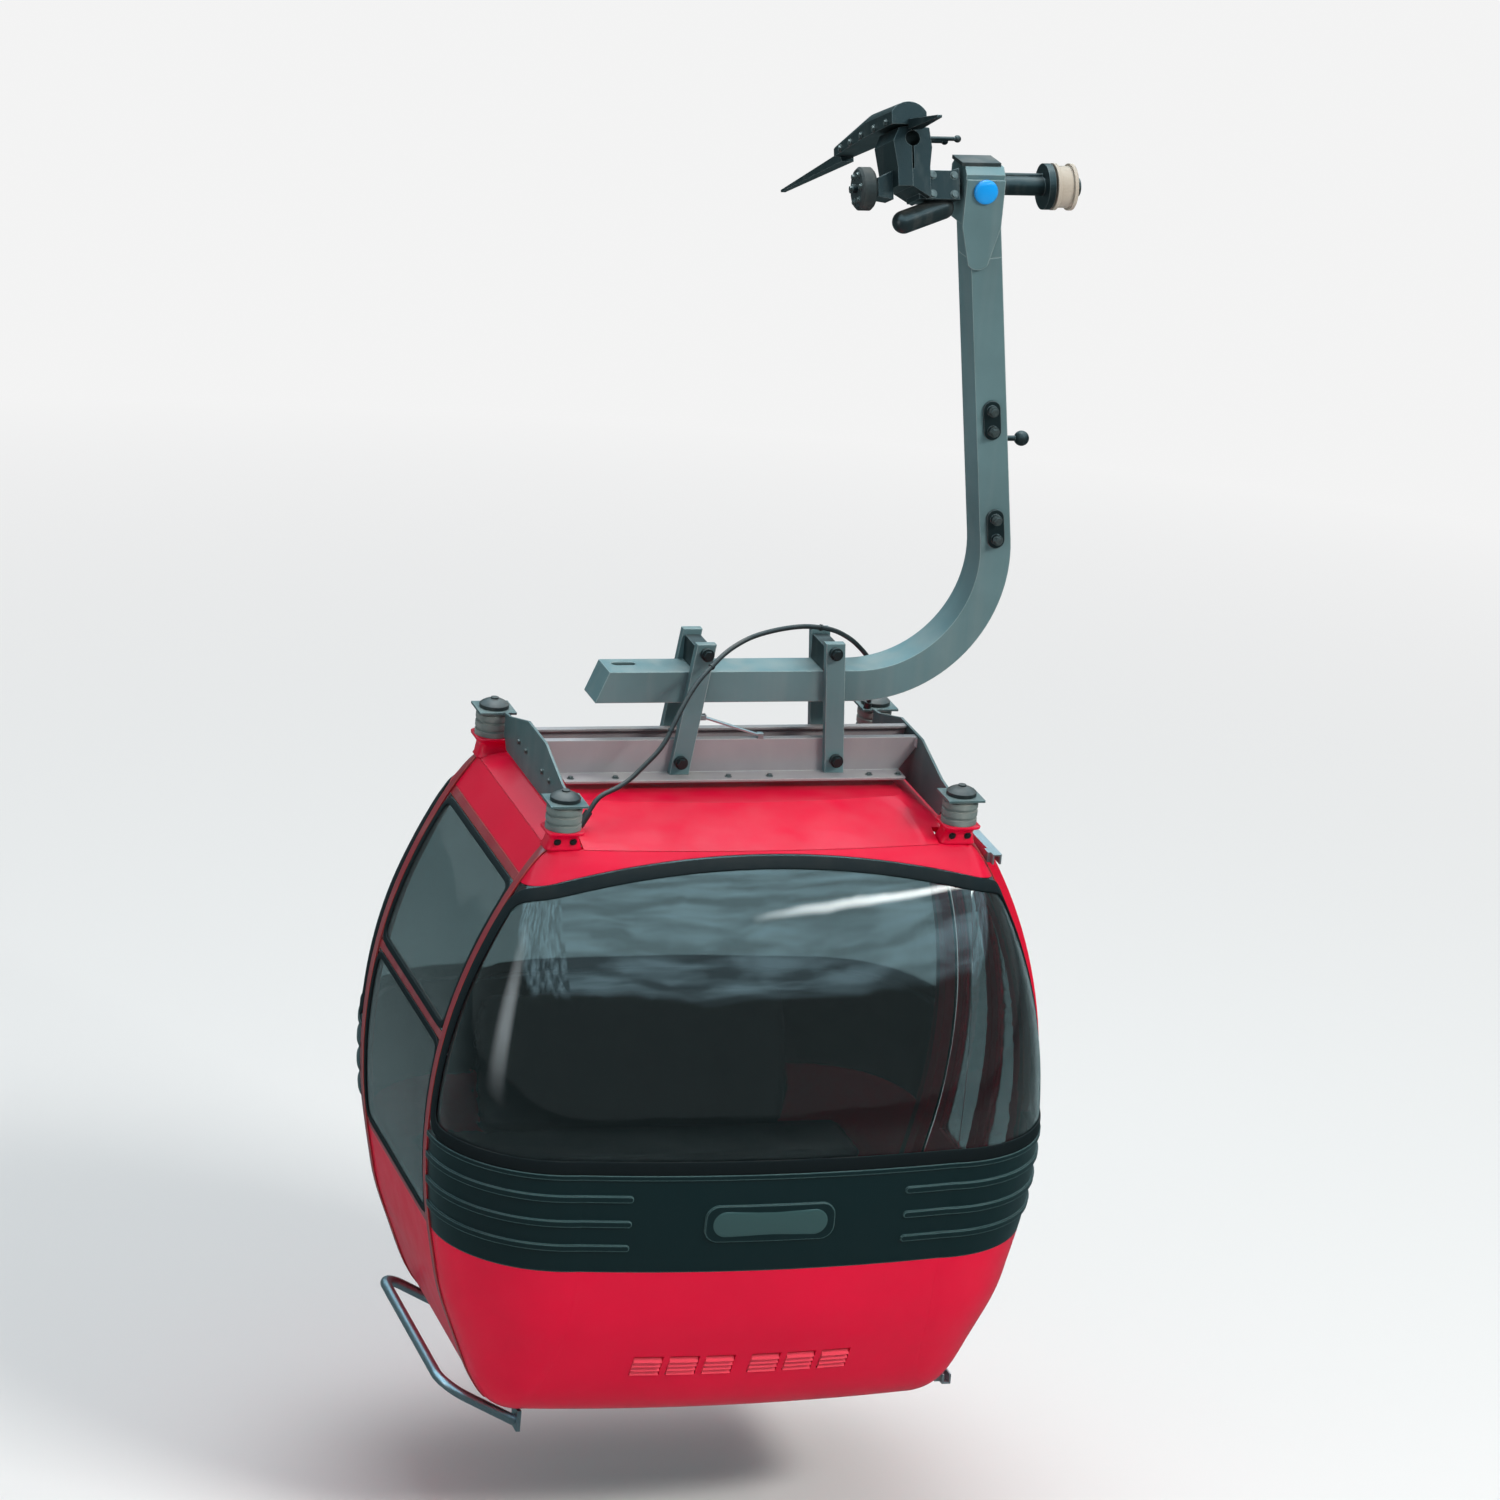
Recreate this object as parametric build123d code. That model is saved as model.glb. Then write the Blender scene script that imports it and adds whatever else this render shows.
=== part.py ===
from build123d import *
import os
from math import cos, pi, radians, sin, sqrt, tan

os.makedirs("parts", exist_ok=True)

# Eight-seat cable car cabin with its hanger and detachable rope grip, in millimetres.
# The cabin is drawn in its own frame: X across (doors on +X), Y along the line, Z up, with Z 0 at
# the sill and X and Y 0 in the middle. The grip is drawn about the rope, level, then tilted with it.
# Both are written out in one frame whose origin is on the rope's axis, in the middle of the jaws.

# Cabin body: side walls and ends are barrels, each of two arcs that meet upright at a waist
side_half_width = 1022      # at the side waist
side_waist_z = 950
side_low_radius = 1955      # side wall below the waist
side_high_radius = 1611     # side wall above the waist
end_half_length = 905       # at the end waist
end_waist_z = 800
end_low_radius = 1208
end_high_radius = 1751
end_crown = 42              # how far an end is bowed in plan
post_setback = 445          # from an end's waist back to its corner posts
post_width = 38
post_proud = 6              # the posts stand out of the walls
body_low_z = -50
body_high_z = 1900
bottom_round = 95           # rounding under the skirts
section_heights = (-50, -36, -8, 45, 150, 300, 480, 700, 950, 1200, 1450, 1700, 1900)
wall = 34                   # double-skinned skirts, bands, roof and panels
pane = 8                    # acrylic windows
floor_top_z = 46
floor_thickness = 46
under_pan = 6               # sheet that closes the underside
panel_gap = 0.8             # between neighbouring panels
seat_gap = 0.3              # between curved faces that sit on each other

# Heights of the joints between the end panels
skirt_top_z = 610
band_top_z = 950
window_arch_z = 1893        # top of the end window at the middle
window_corner_z = 1790      # and above the corner posts

# Relief on the waist bands
relief = 8                  # how far the lip, the ribs and the plate stand out
lip_height = 16
rib_z = (700, 785, 870)
rib_height = 20
rib_start_x = 455
blank_half_width = 215      # plate in the middle
blank_low_z = 722
blank_height = 124
blank_corner = 45

# Air vents in the skirts, in two groups
vent_count = 3              # in each group
vent_pitch = 120
vent_start_x = 77           # middle of a group's first vent
vent_width = 99
vent_low_z = 180
vent_height = 85
vent_depth = 14

# Roof
roof_top_z = 1972
roof_top_inset = 101        # from the dampers in to the edge of the flat top
roof_top_setback = 198      # from the posts to the ends of the flat top
roof_top_corner = 60

# Inner side wall, away from the doors
side_panel_top_z = 600
side_mullion_z = 1250       # between the side window and the vent pane above it
side_opening_top_z = 1800
side_bar = 26               # height of the window frame's bars

# Doors: two leaves that hang outside and slide apart along the line
door_jamb = 62              # from the posts in to the doorway
leaf_gap = 6                # between the closed leaves
leaf_lap = 14               # how far a leaf covers the door frame
leaf_clearance = 16         # between leaf and wall
leaf_thickness = 30
leaf_low_z = 22
leaf_high_z = 1822
leaf_window_low_z = 560
leaf_window_high_z = 1700
leaf_stile = 52
runner = 18                 # thickness of the plate that slides in a rail
runner_length = 96
rail_wall = 6
rail_depth = 34
rail_lift = 6               # clearance between a leaf's edge and a rail
rail_over = 22              # how far the rails run past the posts
runner_root = 8             # how far a runner reaches into its leaf

# Benches, one at each end
seat_top_z = 455
seat_thickness = 60
seat_depth = 295
seat_back_gap = 215         # from the end's waist to the back of the seat
seat_half_width = 760
seat_corner = 70
leg_depth = 92
back_half_width = 560
back_top_z = 905
back_top_gap = 130          # from the end's waist to the top of the backrest
back_thickness = 40
leg_x = (-560, 0, 560)
leg_thickness = 28

# Rubber dampers at the tops of the corner posts
damper_inset = 51           # from the top of the side wall in to a damper's axis
damper_setback = 7          # from the outer face of a post
damper_radius = 58
damper_low_z = 1968
damper_height = 84
damper_rib = 6
damper_ribs = 3
cap_radius = 49
cap_height = 30
cap_edge = 12               # upright edge of a cap, below its dome
cap_bolt = 13
ear_reach = 8               # how far the ears stand out of the walls below
ear_head = 62               # half width of an ear's top
ear_root = (67, 65)         # from a damper's axis to the inner edges of the ear, across and along

# Roof frame: two cross bars right below the beam, between plates that stand over the side walls
frame_sheet = 8
channel_low_z = 2003
channel_height = 119
channel_lip = 79            # bottom flange, outside the web
channel_top_lip = 26        # inside the web
channel_end = (60, 32)      # slant at the webs' ends: how far in at the bottom, and upright part above it
side_plate_inset = 21       # from the dampers' axes
side_plate_low_z = 1948
side_plate_peak = (110, 2128)   # half length of its level top, and height
side_plate_knee = (330, 2068)   # where its top meets the height of the feet
side_plate_corner = 44      # cut at its lower corners
damper_gap = 12             # from a side plate's end to the dampers
cap_gap = 4                 # and to their caps
foot_half_length = 62

# Links that hang the frame from the beam, bars on both sides of it: (top x, foot x)
links = ((-124, -180), (311, 347))
link_foot_z = 2056
link_top_z = 2422
link_width = 64
link_thickness = 28
link_end = 31               # above the top bolts
bolt_radius = 21
bolt_head = 16
saddle_half_width = 26
saddle_rise = 12            # above the links' top bolts

# Pull rod of the door lock, from the first link to the near cross bar, and control cable
pull_rod_radius = 5
pull_rod_start = (-84, 2204)    # Y and Z
pull_rod_end = (94, -60)        # X and Y
lug = 18
cable_radius = 8
cable_route = ((-552, -360, 1986), (-520, -345, 2030), (-425, -320, 2063), (-303, -296, 2180), (-256, -262, 2268),
               (-190, -215, 2362), (-72, -140, 2446), (25, -80, 2474), (130, -40, 2486), (235, -5, 2486),
               (340, 25, 2463), (420, 70, 2414), (500, 148, 2340), (572, 246, 2252), (612, 330, 2176),
               (620, 385, 2125), (618, 398, 2085))
gland_radius = 13
gland_length = 60

# Hanger, a bent rectangular tube
tube_width = 104
tube_depth = 136
tube_wall = 10
beam_z = 2300               # axis of the level part
beam_left_x = -473
beam_cut = 40               # how far the beam's end slants back towards its top
end_plate = 10
drain_slot = (82, 32)       # in the top of the beam, near its end
drain_place = (28, 21)      # from the end, and behind the middle
bend_start_x = 405
bend_radius = 430
arm_lean = 8                # degrees inwards
head_x = (600, 730)
head_radius = 74            # half depth of the head, and its top above the pivot
head_drop = 110             # from the pivot to the bottom of the head
head_chamfer = 22
head_neck = 150             # stub of tube below the head
lid_thickness = 12
lid_overhang = 10
shield_tip_z = 3700         # lowest point of the shield plate
shield_taper = (0.45, 0.94)     # where its sides begin to taper and end, as shares of its drop
shield_tip = 0.5            # its width there, as a share
shield_sheet = 10
arm_plate_z = (2835, 3200)
arm_plate = (132, 58, 8)    # length, width and thickness of the bolted plates
arm_bolt_pitch = 68
arm_bolt_radius = 17
stub_z = 3120
stub_radius = 9
stub_length = 62
ball_radius = 25
blue_cap_radius = 40
blue_cap_height = 22

# Rope and grip: the rope falls towards +Y
rope_x = 420
rope_radius = 24
rope_slope = 22.5
pivot_z = 3957              # hanger's pivot in the cabin's frame
pivot_drop = 132            # from the rope to the pivot, square to the rope
shaft_radius = 30
running = 0.05              # radial clearance of a running fit
jaw_half_length = 95
jaw_gap = 6
jaw_top = 40
jaw_split_z = -96           # below this the jaws' castings touch
column_width = 56           # of the fixed jaw, from the rope's axis
column_swell = 8            # more below the rope
casting_low_z = -188
casting_x = 164             # side of the casting that faces the hanger's head
casting_half_length = 62
jaw_outer_x = -64
jaw_narrow = (0.7, 0.8)     # width of the moving jaw at its top and foot, as shares
jaw_crest = 6               # how far the jaws' tops fall to their sides
collar = 14                 # shaft collars, beyond the shaft's radius
collar_thickness = 8
keeper_radius = 8           # rod along the top of the shaft
backing_radius = 74         # disc behind the guide roller
backing_thickness = 22
spring_radius = 37
spring_length = 140
spring_tilt = 20
spring_x = 60
spring_z = -230
hump_x = (-76, 40)
hump_y = (-120, 150, 560)
hump_rise = (72, 80, 44)    # above the jaws, at each of those places
hump_narrow = 0.6           # width at the far end
hump_shoulder = 0.55        # height of its upright sides, as a share
tongue_reach = (-355, 1250) # ends of the rope guides, before and behind the jaws
tongue_root = (44, 32)
tongue_tip = (16, 8)
roller_x = -135             # coupling roller, from the rope
coupling_roller_radius = 69
coupling_roller_width = 50
coupling_roller_drop = 150
lever_width = 84
guide_roller_x = 530
guide_roller_radius = 67
guide_roller_width = 68
guide_roller_lip = 8
guide_roller_lip_width = 12
axle_radius = 14
axle_end = 16
release_rods = ((-20, 176), (30, 150))  # place along the rope, reach
release_rod_radius = 7
release_rod_z = 12
release_knob = 12

# Guide rail along the inner side, at floor level
guide_tube_radius = 18
guide_clearance = 108       # from the wall's foot
guide_z = 40
guide_setback = 20          # from the posts
guide_foot_x = -655
guide_foot_z = -98
guide_bend = 95
guide_foot = (14, 34, 26)   # thickness, half length and drop of its feet

far = 3000                  # beyond everything, for cutting


def barrel_x(z, out=0.0):
    """Half width of the side walls at a height, offset outwards."""
    r = side_low_radius if z < side_waist_z else side_high_radius
    return side_half_width - r + sqrt((r + out) ** 2 - (z - side_waist_z) ** 2)


def barrel_y(z):
    """Half length of the ends at a height."""
    r = end_low_radius if z < end_waist_z else end_high_radius
    return end_half_length - r + sqrt(r ** 2 - (z - end_waist_z) ** 2)


# Places that follow from the sizes above
post_y = end_half_length - post_setback     # outer face of the corner posts, where the bowed ends begin
side_y = post_y - post_width
door_half_opening = side_y - door_jamb
rope_centre = (rope_x, pivot_drop * sin(radians(rope_slope)), pivot_z + pivot_drop * cos(radians(rope_slope)))
hang = Pos(-rope_centre[0], -rope_centre[1], -rope_centre[2])
tilt = Rot(-rope_slope, 0, 0)
damper_x = barrel_x(body_high_z) - damper_inset
damper_y = post_y - damper_setback
damper_top_z = damper_low_z + damper_height
ear_inner_x = damper_x - ear_root[0]
ear_inner_y = damper_y - ear_root[1]
roof_top_half_width = damper_x - roof_top_inset
roof_top_half_length = post_y - roof_top_setback
side_plate_x = damper_x - side_plate_inset
channel_y = tube_depth / 2 + seat_gap       # outer faces of the cross bars' webs, in line with the beam's sides
channel_top_z = channel_low_z + channel_height
guide_x = -barrel_x(guide_z) - guide_clearance
guide_y = post_y - guide_setback
seat_back_y = end_half_length - seat_back_gap
seat_front_y = seat_back_y - seat_depth
leg_front_y = seat_front_y + leg_thickness
back_top_y = end_half_length - back_top_gap


def along(face, y_low, y_high):
    """A sketch drawn in X and Z, extruded from one Y to another."""
    return Pos(0, y_low, 0) * extrude(Plane.XZ * face, amount=y_low - y_high)


def across(face, x_low, x_high):
    """A sketch drawn in Y and Z, extruded from one X to another."""
    return Pos(x_low, 0, 0) * extrude(Plane.YZ * face, amount=x_high - x_low)


def polygon(*points):
    return make_face(Polyline(*points, close=True))


def block(x_low, x_high, y_low, y_high, z_low, z_high):
    size = (x_high - x_low, y_high - y_low, z_high - z_low)
    return Pos(x_low + size[0] / 2, y_low + size[1] / 2, z_low + size[2] / 2) * Box(*size)


def rod(radius, x_low, x_high, y, z):
    """A round bar across."""
    return Pos((x_low + x_high) / 2, y, z) * Rot(0, 90, 0) * Cylinder(radius, x_high - x_low)


def pin(radius, x, y_low, y_high, z):
    """A round bar along the line."""
    return Pos(x, (y_low + y_high) / 2, z) * Rot(90, 0, 0) * Cylinder(radius, y_high - y_low)


def both_ends(shape):
    return shape, mirror(shape, Plane.XZ)


def four_corners(shape):
    pair = list(both_ends(shape))
    return pair + [mirror(one, Plane.YZ) for one in pair]


# Body shell

def plan_section(z, w, y_end, corner):
    """A level section: straight sides, round corners and bowed ends."""
    y_corner = y_end - end_crown
    mid = corner * (1 - sin(pi / 4))
    half = [
        Line((w, corner - y_corner), (w, y_corner - corner)),
        ThreePointArc((w, y_corner - corner), (w - mid, y_corner - mid), (w - corner, y_corner)),
        ThreePointArc((w - corner, y_corner), (0, y_end), (corner - w, y_corner)),
        ThreePointArc((corner - w, y_corner), (mid - w, y_corner - mid), (-w, y_corner - corner)),
    ]
    return Pos(0, 0, z) * make_face(half + [edge.rotate(Axis.Z, 180) for edge in half])


def body_section(z, inset):
    under = max(body_low_z + bottom_round - z, 0) / bottom_round
    tuck = inset + bottom_round * (1 - sqrt(1 - under ** 2))
    corner = max(barrel_y(z) - end_crown - post_y, bottom_round / 2) - inset
    return plan_section(z, barrel_x(z) - tuck, barrel_y(z) - tuck, corner)


def body_solid(inset):
    """The whole body as one solid, drawn in by the inset."""
    return loft([body_section(z, inset) for z in section_heights])


def roof_solid(inset):
    """The flat-topped roof over the body, drawn in by the inset."""
    w = roof_top_half_width - inset
    top = plan_section(roof_top_z - inset, w, roof_top_half_length - inset, roof_top_corner)
    return loft([body_section(body_high_z, inset), top], ruled=True)


body_outer = body_solid(0)
body_inner = body_solid(wall)
shell = body_outer - body_inner
skin = body_outer - body_solid(pane)
posts_outer = body_solid(-post_proud)
relief_zone = body_solid(-relief) - body_solid(relief)


def under_arch(gap):
    """The end zone below the arched top of the end window, drawn in by the gap."""
    x = barrel_x(window_corner_z)
    low_z, corner_z = band_top_z + gap, window_corner_z - gap
    top = ThreePointArc((-x, corner_z), (0, window_arch_z - gap), (x, corner_z))
    rest = Polyline((x, corner_z), (far, corner_z), (far, low_z), (-far, low_z), (-far, corner_z), (-x, corner_z))
    return along(make_face([top, rest]), -far, -post_y - panel_gap)


def level(z_low, z_high):
    return block(-far, far, -far, -post_y - panel_gap, z_low, z_high)


def band_relief():
    """The lip, the ribs and the middle plate, as one sketch in X and Z."""
    sketch = Pos(0, band_top_z - lip_height / 2) * Rectangle(2 * far, lip_height)
    for z in rib_z:
        for x in (-far - rib_start_x, far + rib_start_x):
            sketch += Pos(x, z) * SlotOverall(2 * far, rib_height)
    plate = RectangleRounded(2 * blank_half_width, blank_height, blank_corner)
    return sketch + Pos(0, blank_low_z + blank_height / 2) * plate


def make_ends():
    vent_floor = body_solid(vent_depth)
    skirt = shell & level(body_low_z, skirt_top_z)
    for i in range(vent_count):
        x = vent_start_x + i * vent_pitch
        vent = block(x - vent_width / 2, x + vent_width / 2, -far, 0, vent_low_z, vent_low_z + vent_height)
        for pocket in (vent, mirror(vent, Plane.YZ)):
            skirt -= pocket - vent_floor
    band = shell & level(skirt_top_z + panel_gap, band_top_z)
    band += relief_zone & along(band_relief(), -far, -post_y - panel_gap)
    window = skin & under_arch(panel_gap)
    for name, piece in (("skirt", skirt), ("band", band), ("window", window)):
        front, rear = both_ends(piece)
        yield name + "_front", front
        yield name + "_rear", rear


def make_roof():
    cap = roof_solid(0) - roof_solid(wall)
    notch = block(ear_inner_x, far, -far, -ear_inner_y, 0, far)
    for corner in four_corners(notch):
        cap -= corner
    yield "roof", Pos(0, 0, panel_gap) * cap
    eaves = list(both_ends((shell & level(window_corner_z, body_high_z)) - under_arch(0)))
    side = side_strip(0, wall, side_opening_top_z + panel_gap, body_high_z, panel_gap - side_y, side_y - panel_gap)
    eaves += [side, mirror(side, Plane.YZ)]
    yield "roof_edges", Compound([solid for piece in eaves for solid in piece.solids()])


def make_posts():
    ring = posts_outer - body_inner
    front, rear = both_ends(ring & block(-far, far, -post_y, -side_y, floor_top_z - floor_thickness, body_high_z))
    yield "posts_front", front
    yield "posts_rear", rear


def make_floor():
    low_z = floor_top_z - floor_thickness
    slab = extrude(body_section(low_z, wall + panel_gap), floor_thickness)
    pan = extrude(body_section(body_low_z, wall + panel_gap), under_pan)
    yield "floor", slab
    yield "under_pan", pan


def inner_strip(thick, z_low, z_high):
    """A stretch of the -X wall between the posts."""
    return mirror(side_strip(0, thick, z_low, z_high, panel_gap - side_y, side_y - panel_gap), Plane.YZ)


def make_inner_side():
    zone = block(-far, 0, panel_gap - side_y, side_y - panel_gap, body_low_z, side_panel_top_z)
    yield "side_panel", shell & zone
    edges = [side_panel_top_z + panel_gap, side_mullion_z - side_bar / 2, side_opening_top_z - side_bar]
    yield "side_bars", Compound([inner_strip(wall, z, z + side_bar) for z in edges])
    panes = [inner_strip(pane, low + side_bar + panel_gap, high - panel_gap) for low, high in zip(edges, edges[1:])]
    yield "side_window", panes[0]
    yield "vent_pane", panes[1]


# Door side

def side_region(out, z_low, z_high):
    """The inside of the +X wall, offset outwards, as a sketch in X and Z."""
    points = [z_low] + [side_waist_z] * (z_low < side_waist_z < z_high) + [z_high]
    arcs = []
    for a, b in zip(points, points[1:]):
        arcs.append(ThreePointArc(*((barrel_x(z, out), z) for z in (a, (a + b) / 2, b))))
    rest = Polyline((barrel_x(z_high, out), z_high), (0, z_high), (0, z_low), (barrel_x(z_low, out), z_low))
    return make_face(arcs + [rest])


def side_strip(out, thick, z_low, z_high, y_low, y_high):
    """A panel that follows the side barrel, its outer face offset by out."""
    strip = side_region(out, z_low, z_high) - side_region(out - thick, z_low - 1, z_high + 1)
    return along(strip, y_low, y_high)


runner_top_x = barrel_x(leaf_high_z) + leaf_clearance + leaf_thickness / 2
runner_low_x = barrel_x(leaf_low_z) + leaf_clearance + leaf_thickness / 2
top_rail_z = leaf_high_z + rail_lift
low_rail_z = leaf_low_z - rail_lift


def make_door_frame():
    zone = block(0, far, panel_gap - side_y, side_y - panel_gap, body_low_z, side_opening_top_z)
    opening = block(0, far, -door_half_opening, door_half_opening, floor_top_z, side_opening_top_z + 1)
    yield "door_frame", (shell & zone) - opening


def make_leaves():
    y_in = leaf_gap / 2
    y_out = door_half_opening + leaf_lap
    z_low, z_high = leaf_window_low_z, leaf_window_high_z
    leaf = side_strip(leaf_clearance + leaf_thickness, leaf_thickness, leaf_low_z, leaf_high_z, y_in, y_out)
    leaf -= block(0, far, y_in + leaf_stile, y_out - leaf_stile, z_low, z_high)
    half = runner / 2
    leaf += block(runner_top_x - half, runner_top_x + half, y_in, y_in + runner_length,
                  leaf_high_z - runner_root, top_rail_z + rail_depth - rail_wall - seat_gap)
    leaf += block(runner_low_x - half, runner_low_x + half, y_in, y_in + runner_length,
                  low_rail_z - rail_depth + rail_wall + seat_gap, leaf_low_z + runner_root)
    out = leaf_clearance + (leaf_thickness + pane) / 2
    glass = side_strip(out, pane, z_low, z_high, y_in + leaf_stile, y_out - leaf_stile)
    for name, piece in (("leaf", leaf), ("leaf_glass", glass)):
        rear, front = both_ends(piece)
        yield name + "_front", front
        yield name + "_rear", rear


def make_rails():
    half = runner / 2 + seat_gap
    length = post_y + rail_over
    rails = []
    for x, z, up in ((runner_top_x, top_rail_z, 1), (runner_low_x, low_rail_z, -1)):
        z_far = z + up * rail_depth
        outside = block(x - half - rail_wall, x + half + rail_wall, -length, length, min(z, z_far), max(z, z_far))
        slot_far = z_far - up * rail_wall
        slot = block(x - half, x + half, -length - 1, length + 1, min(z - up, slot_far), max(z - up, slot_far))
        rail = outside - slot
        low, high = min(z, z_far), max(z, z_far)
        seat_x = (posts_outer & block(0, far, -post_y, -side_y, low, high)).bounding_box().max.X + seat_gap
        for y in (-post_y, side_y):
            rail += block(seat_x, x - half - rail_wall, y, y + post_width, min(z, z_far), max(z, z_far))
        rails.append(rail)
    yield "door_rails", Compound(rails)


# Benches

def make_benches():
    seat = block(-seat_half_width, seat_half_width, -seat_back_y, -seat_front_y,
                 seat_top_z - seat_thickness, seat_top_z)
    seat = fillet(seat.edges().filter_by(Axis.Z), seat_corner)
    back = across(polygon((-seat_back_y, seat_top_z), (-back_top_y - back_thickness, back_top_z),
                          (-back_top_y, back_top_z), (back_thickness - seat_back_y, seat_top_z)),
                  -back_half_width, back_half_width)
    legs = []
    for x in leg_x:
        legs.append(block(x - leg_thickness / 2, x + leg_thickness / 2, -leg_front_y - leg_depth, -leg_front_y,
                          floor_top_z, seat_top_z - seat_thickness))
    yield "bench_seats", Compound(list(both_ends(seat)))
    yield "bench_backs", Compound(list(both_ends(back)))
    yield "bench_legs", Compound(legs + [mirror(leg, Plane.XZ) for leg in legs])


# Roof suspension

def make_dampers():
    x_low, x_high = ear_inner_x + panel_gap, barrel_x(body_high_z) + ear_reach
    y_low, y_high = ear_inner_y + panel_gap, barrel_y(body_high_z) - end_crown + ear_reach
    base = Pos((x_low + x_high) / 2, -(y_low + y_high) / 2, body_high_z + seat_gap)
    ear = loft([base * Rectangle(x_high - x_low, y_high - y_low),
                Pos(damper_x, -damper_y, damper_low_z) * Rectangle(2 * ear_head, 2 * ear_head)], ruled=True)
    profile = [(0, 0), (damper_radius, 0)]
    pitch = damper_height / damper_ribs
    for i in range(damper_ribs):
        z = i * pitch
        profile += [(damper_radius, z + pitch * 0.6), (damper_radius - damper_rib, z + pitch * 0.7),
                    (damper_radius - damper_rib, z + pitch * 0.95), (damper_radius, z + pitch)]
    profile.append((0, damper_height))
    place = Pos(damper_x, -damper_y, 0)
    damper = place * Pos(0, 0, damper_low_z) * revolve(Plane.XZ * polygon(*profile), Axis.Z)
    top = damper_top_z + frame_sheet
    dome = make_face([
        Polyline((cap_radius, cap_edge), (cap_radius, 0), (0, 0), (0, cap_height)),
        ThreePointArc((0, cap_height), (cap_radius * 0.59, cap_height * 0.84), (cap_radius, cap_edge)),
    ])
    cap = place * Pos(0, 0, top) * revolve(Plane.XZ * dome, Axis.Z)
    cap += place * Pos(0, 0, top + cap_height * 0.9) * Cylinder(cap_bolt, cap_height * 0.5)
    yield "damper_ears", Compound(four_corners(ear))
    yield "dampers", Compound(four_corners(damper))
    yield "damper_caps", Compound(four_corners(cap))


def make_roof_frame():
    inner_x = side_plate_x - frame_sheet
    end_y = damper_y - cap_radius - cap_gap
    low_y = damper_y - damper_radius - damper_gap
    foot_z = damper_top_z + frame_sheet
    peak_y, peak_z = side_plate_peak
    knee_y, knee_z = side_plate_knee
    half = [(end_y, damper_top_z), (end_y, foot_z), (knee_y, knee_z), (peak_y, peak_z)]
    under = [(side_plate_corner - low_y, side_plate_low_z), (-low_y, side_plate_low_z + side_plate_corner),
             (-low_y, damper_top_z)]
    outline = half + [(-y, z) for y, z in reversed(half)] + under[::-1] + [(-y, z) for y, z in under]
    side = across(polygon(*outline), inner_x, side_plate_x)
    for y in (-damper_y, damper_y):
        side += block(damper_x - foot_half_length, damper_x + foot_half_length, y - foot_half_length,
                      y + foot_half_length, damper_top_z, foot_z)
    lip_y = -channel_y - channel_lip
    web = [(lip_y, channel_low_z), (lip_y, channel_low_z + frame_sheet), (-channel_y, channel_low_z + frame_sheet),
           (-channel_y, channel_top_z), (channel_top_lip - channel_y, channel_top_z),
           (channel_top_lip - channel_y, channel_top_z - frame_sheet),
           (frame_sheet - channel_y, channel_top_z - frame_sheet), (frame_sheet - channel_y, channel_low_z)]
    slant, upright = channel_end
    right = [(inner_x, channel_top_z), (inner_x, channel_top_z - upright), (inner_x - slant, channel_low_z)]
    between = polygon(*right, *[(-x, z) for x, z in reversed(right)])
    channel = across(polygon(*web), -far, far) & along(between, -far, far)
    yield "frame_sides", Compound([side, mirror(side, Plane.YZ)])
    yield "frame_channels", Compound(list(both_ends(channel)))


def make_links():
    """Bars on both sides of the beam and the cross bars, with the saddles and bolts that clamp them."""
    low_z, high_z = channel_low_z + frame_sheet + seat_gap, link_top_z + link_end
    face_y = channel_y + link_thickness
    bars = []
    bolts = []
    for top_x, foot_x in links:
        half = link_width / 2
        front = polygon((top_x - half, high_z), (top_x + half, high_z), (foot_x + half, low_z), (foot_x - half, low_z))
        bars += both_ends(along(front, -face_y, -channel_y))
        bolts.append(block(top_x - saddle_half_width, top_x + saddle_half_width, -channel_y, channel_y,
                           beam_z + tube_width / 2, link_top_z + saddle_rise))
        for x, z in ((top_x, link_top_z), (foot_x, link_foot_z)):
            bolts += both_ends(pin(bolt_radius, x, -face_y - bolt_head, -face_y, z))
    yield "link_straps", Compound(bars)
    yield "link_pins", Compound([solid for bolt in bolts for solid in bolt.solids()])


def cable_arcs(points):
    """The largest radius that each corner's two runs leave room for."""
    vectors = [Vector(*point) for point in points]
    radii = []
    for a, b, c in zip(vectors, vectors[1:], vectors[2:]):
        turn = radians((b - a).get_angle(c - b))
        radii.append(0.45 * min((b - a).length, (c - b).length) / tan(turn / 2))
    return radii


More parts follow.
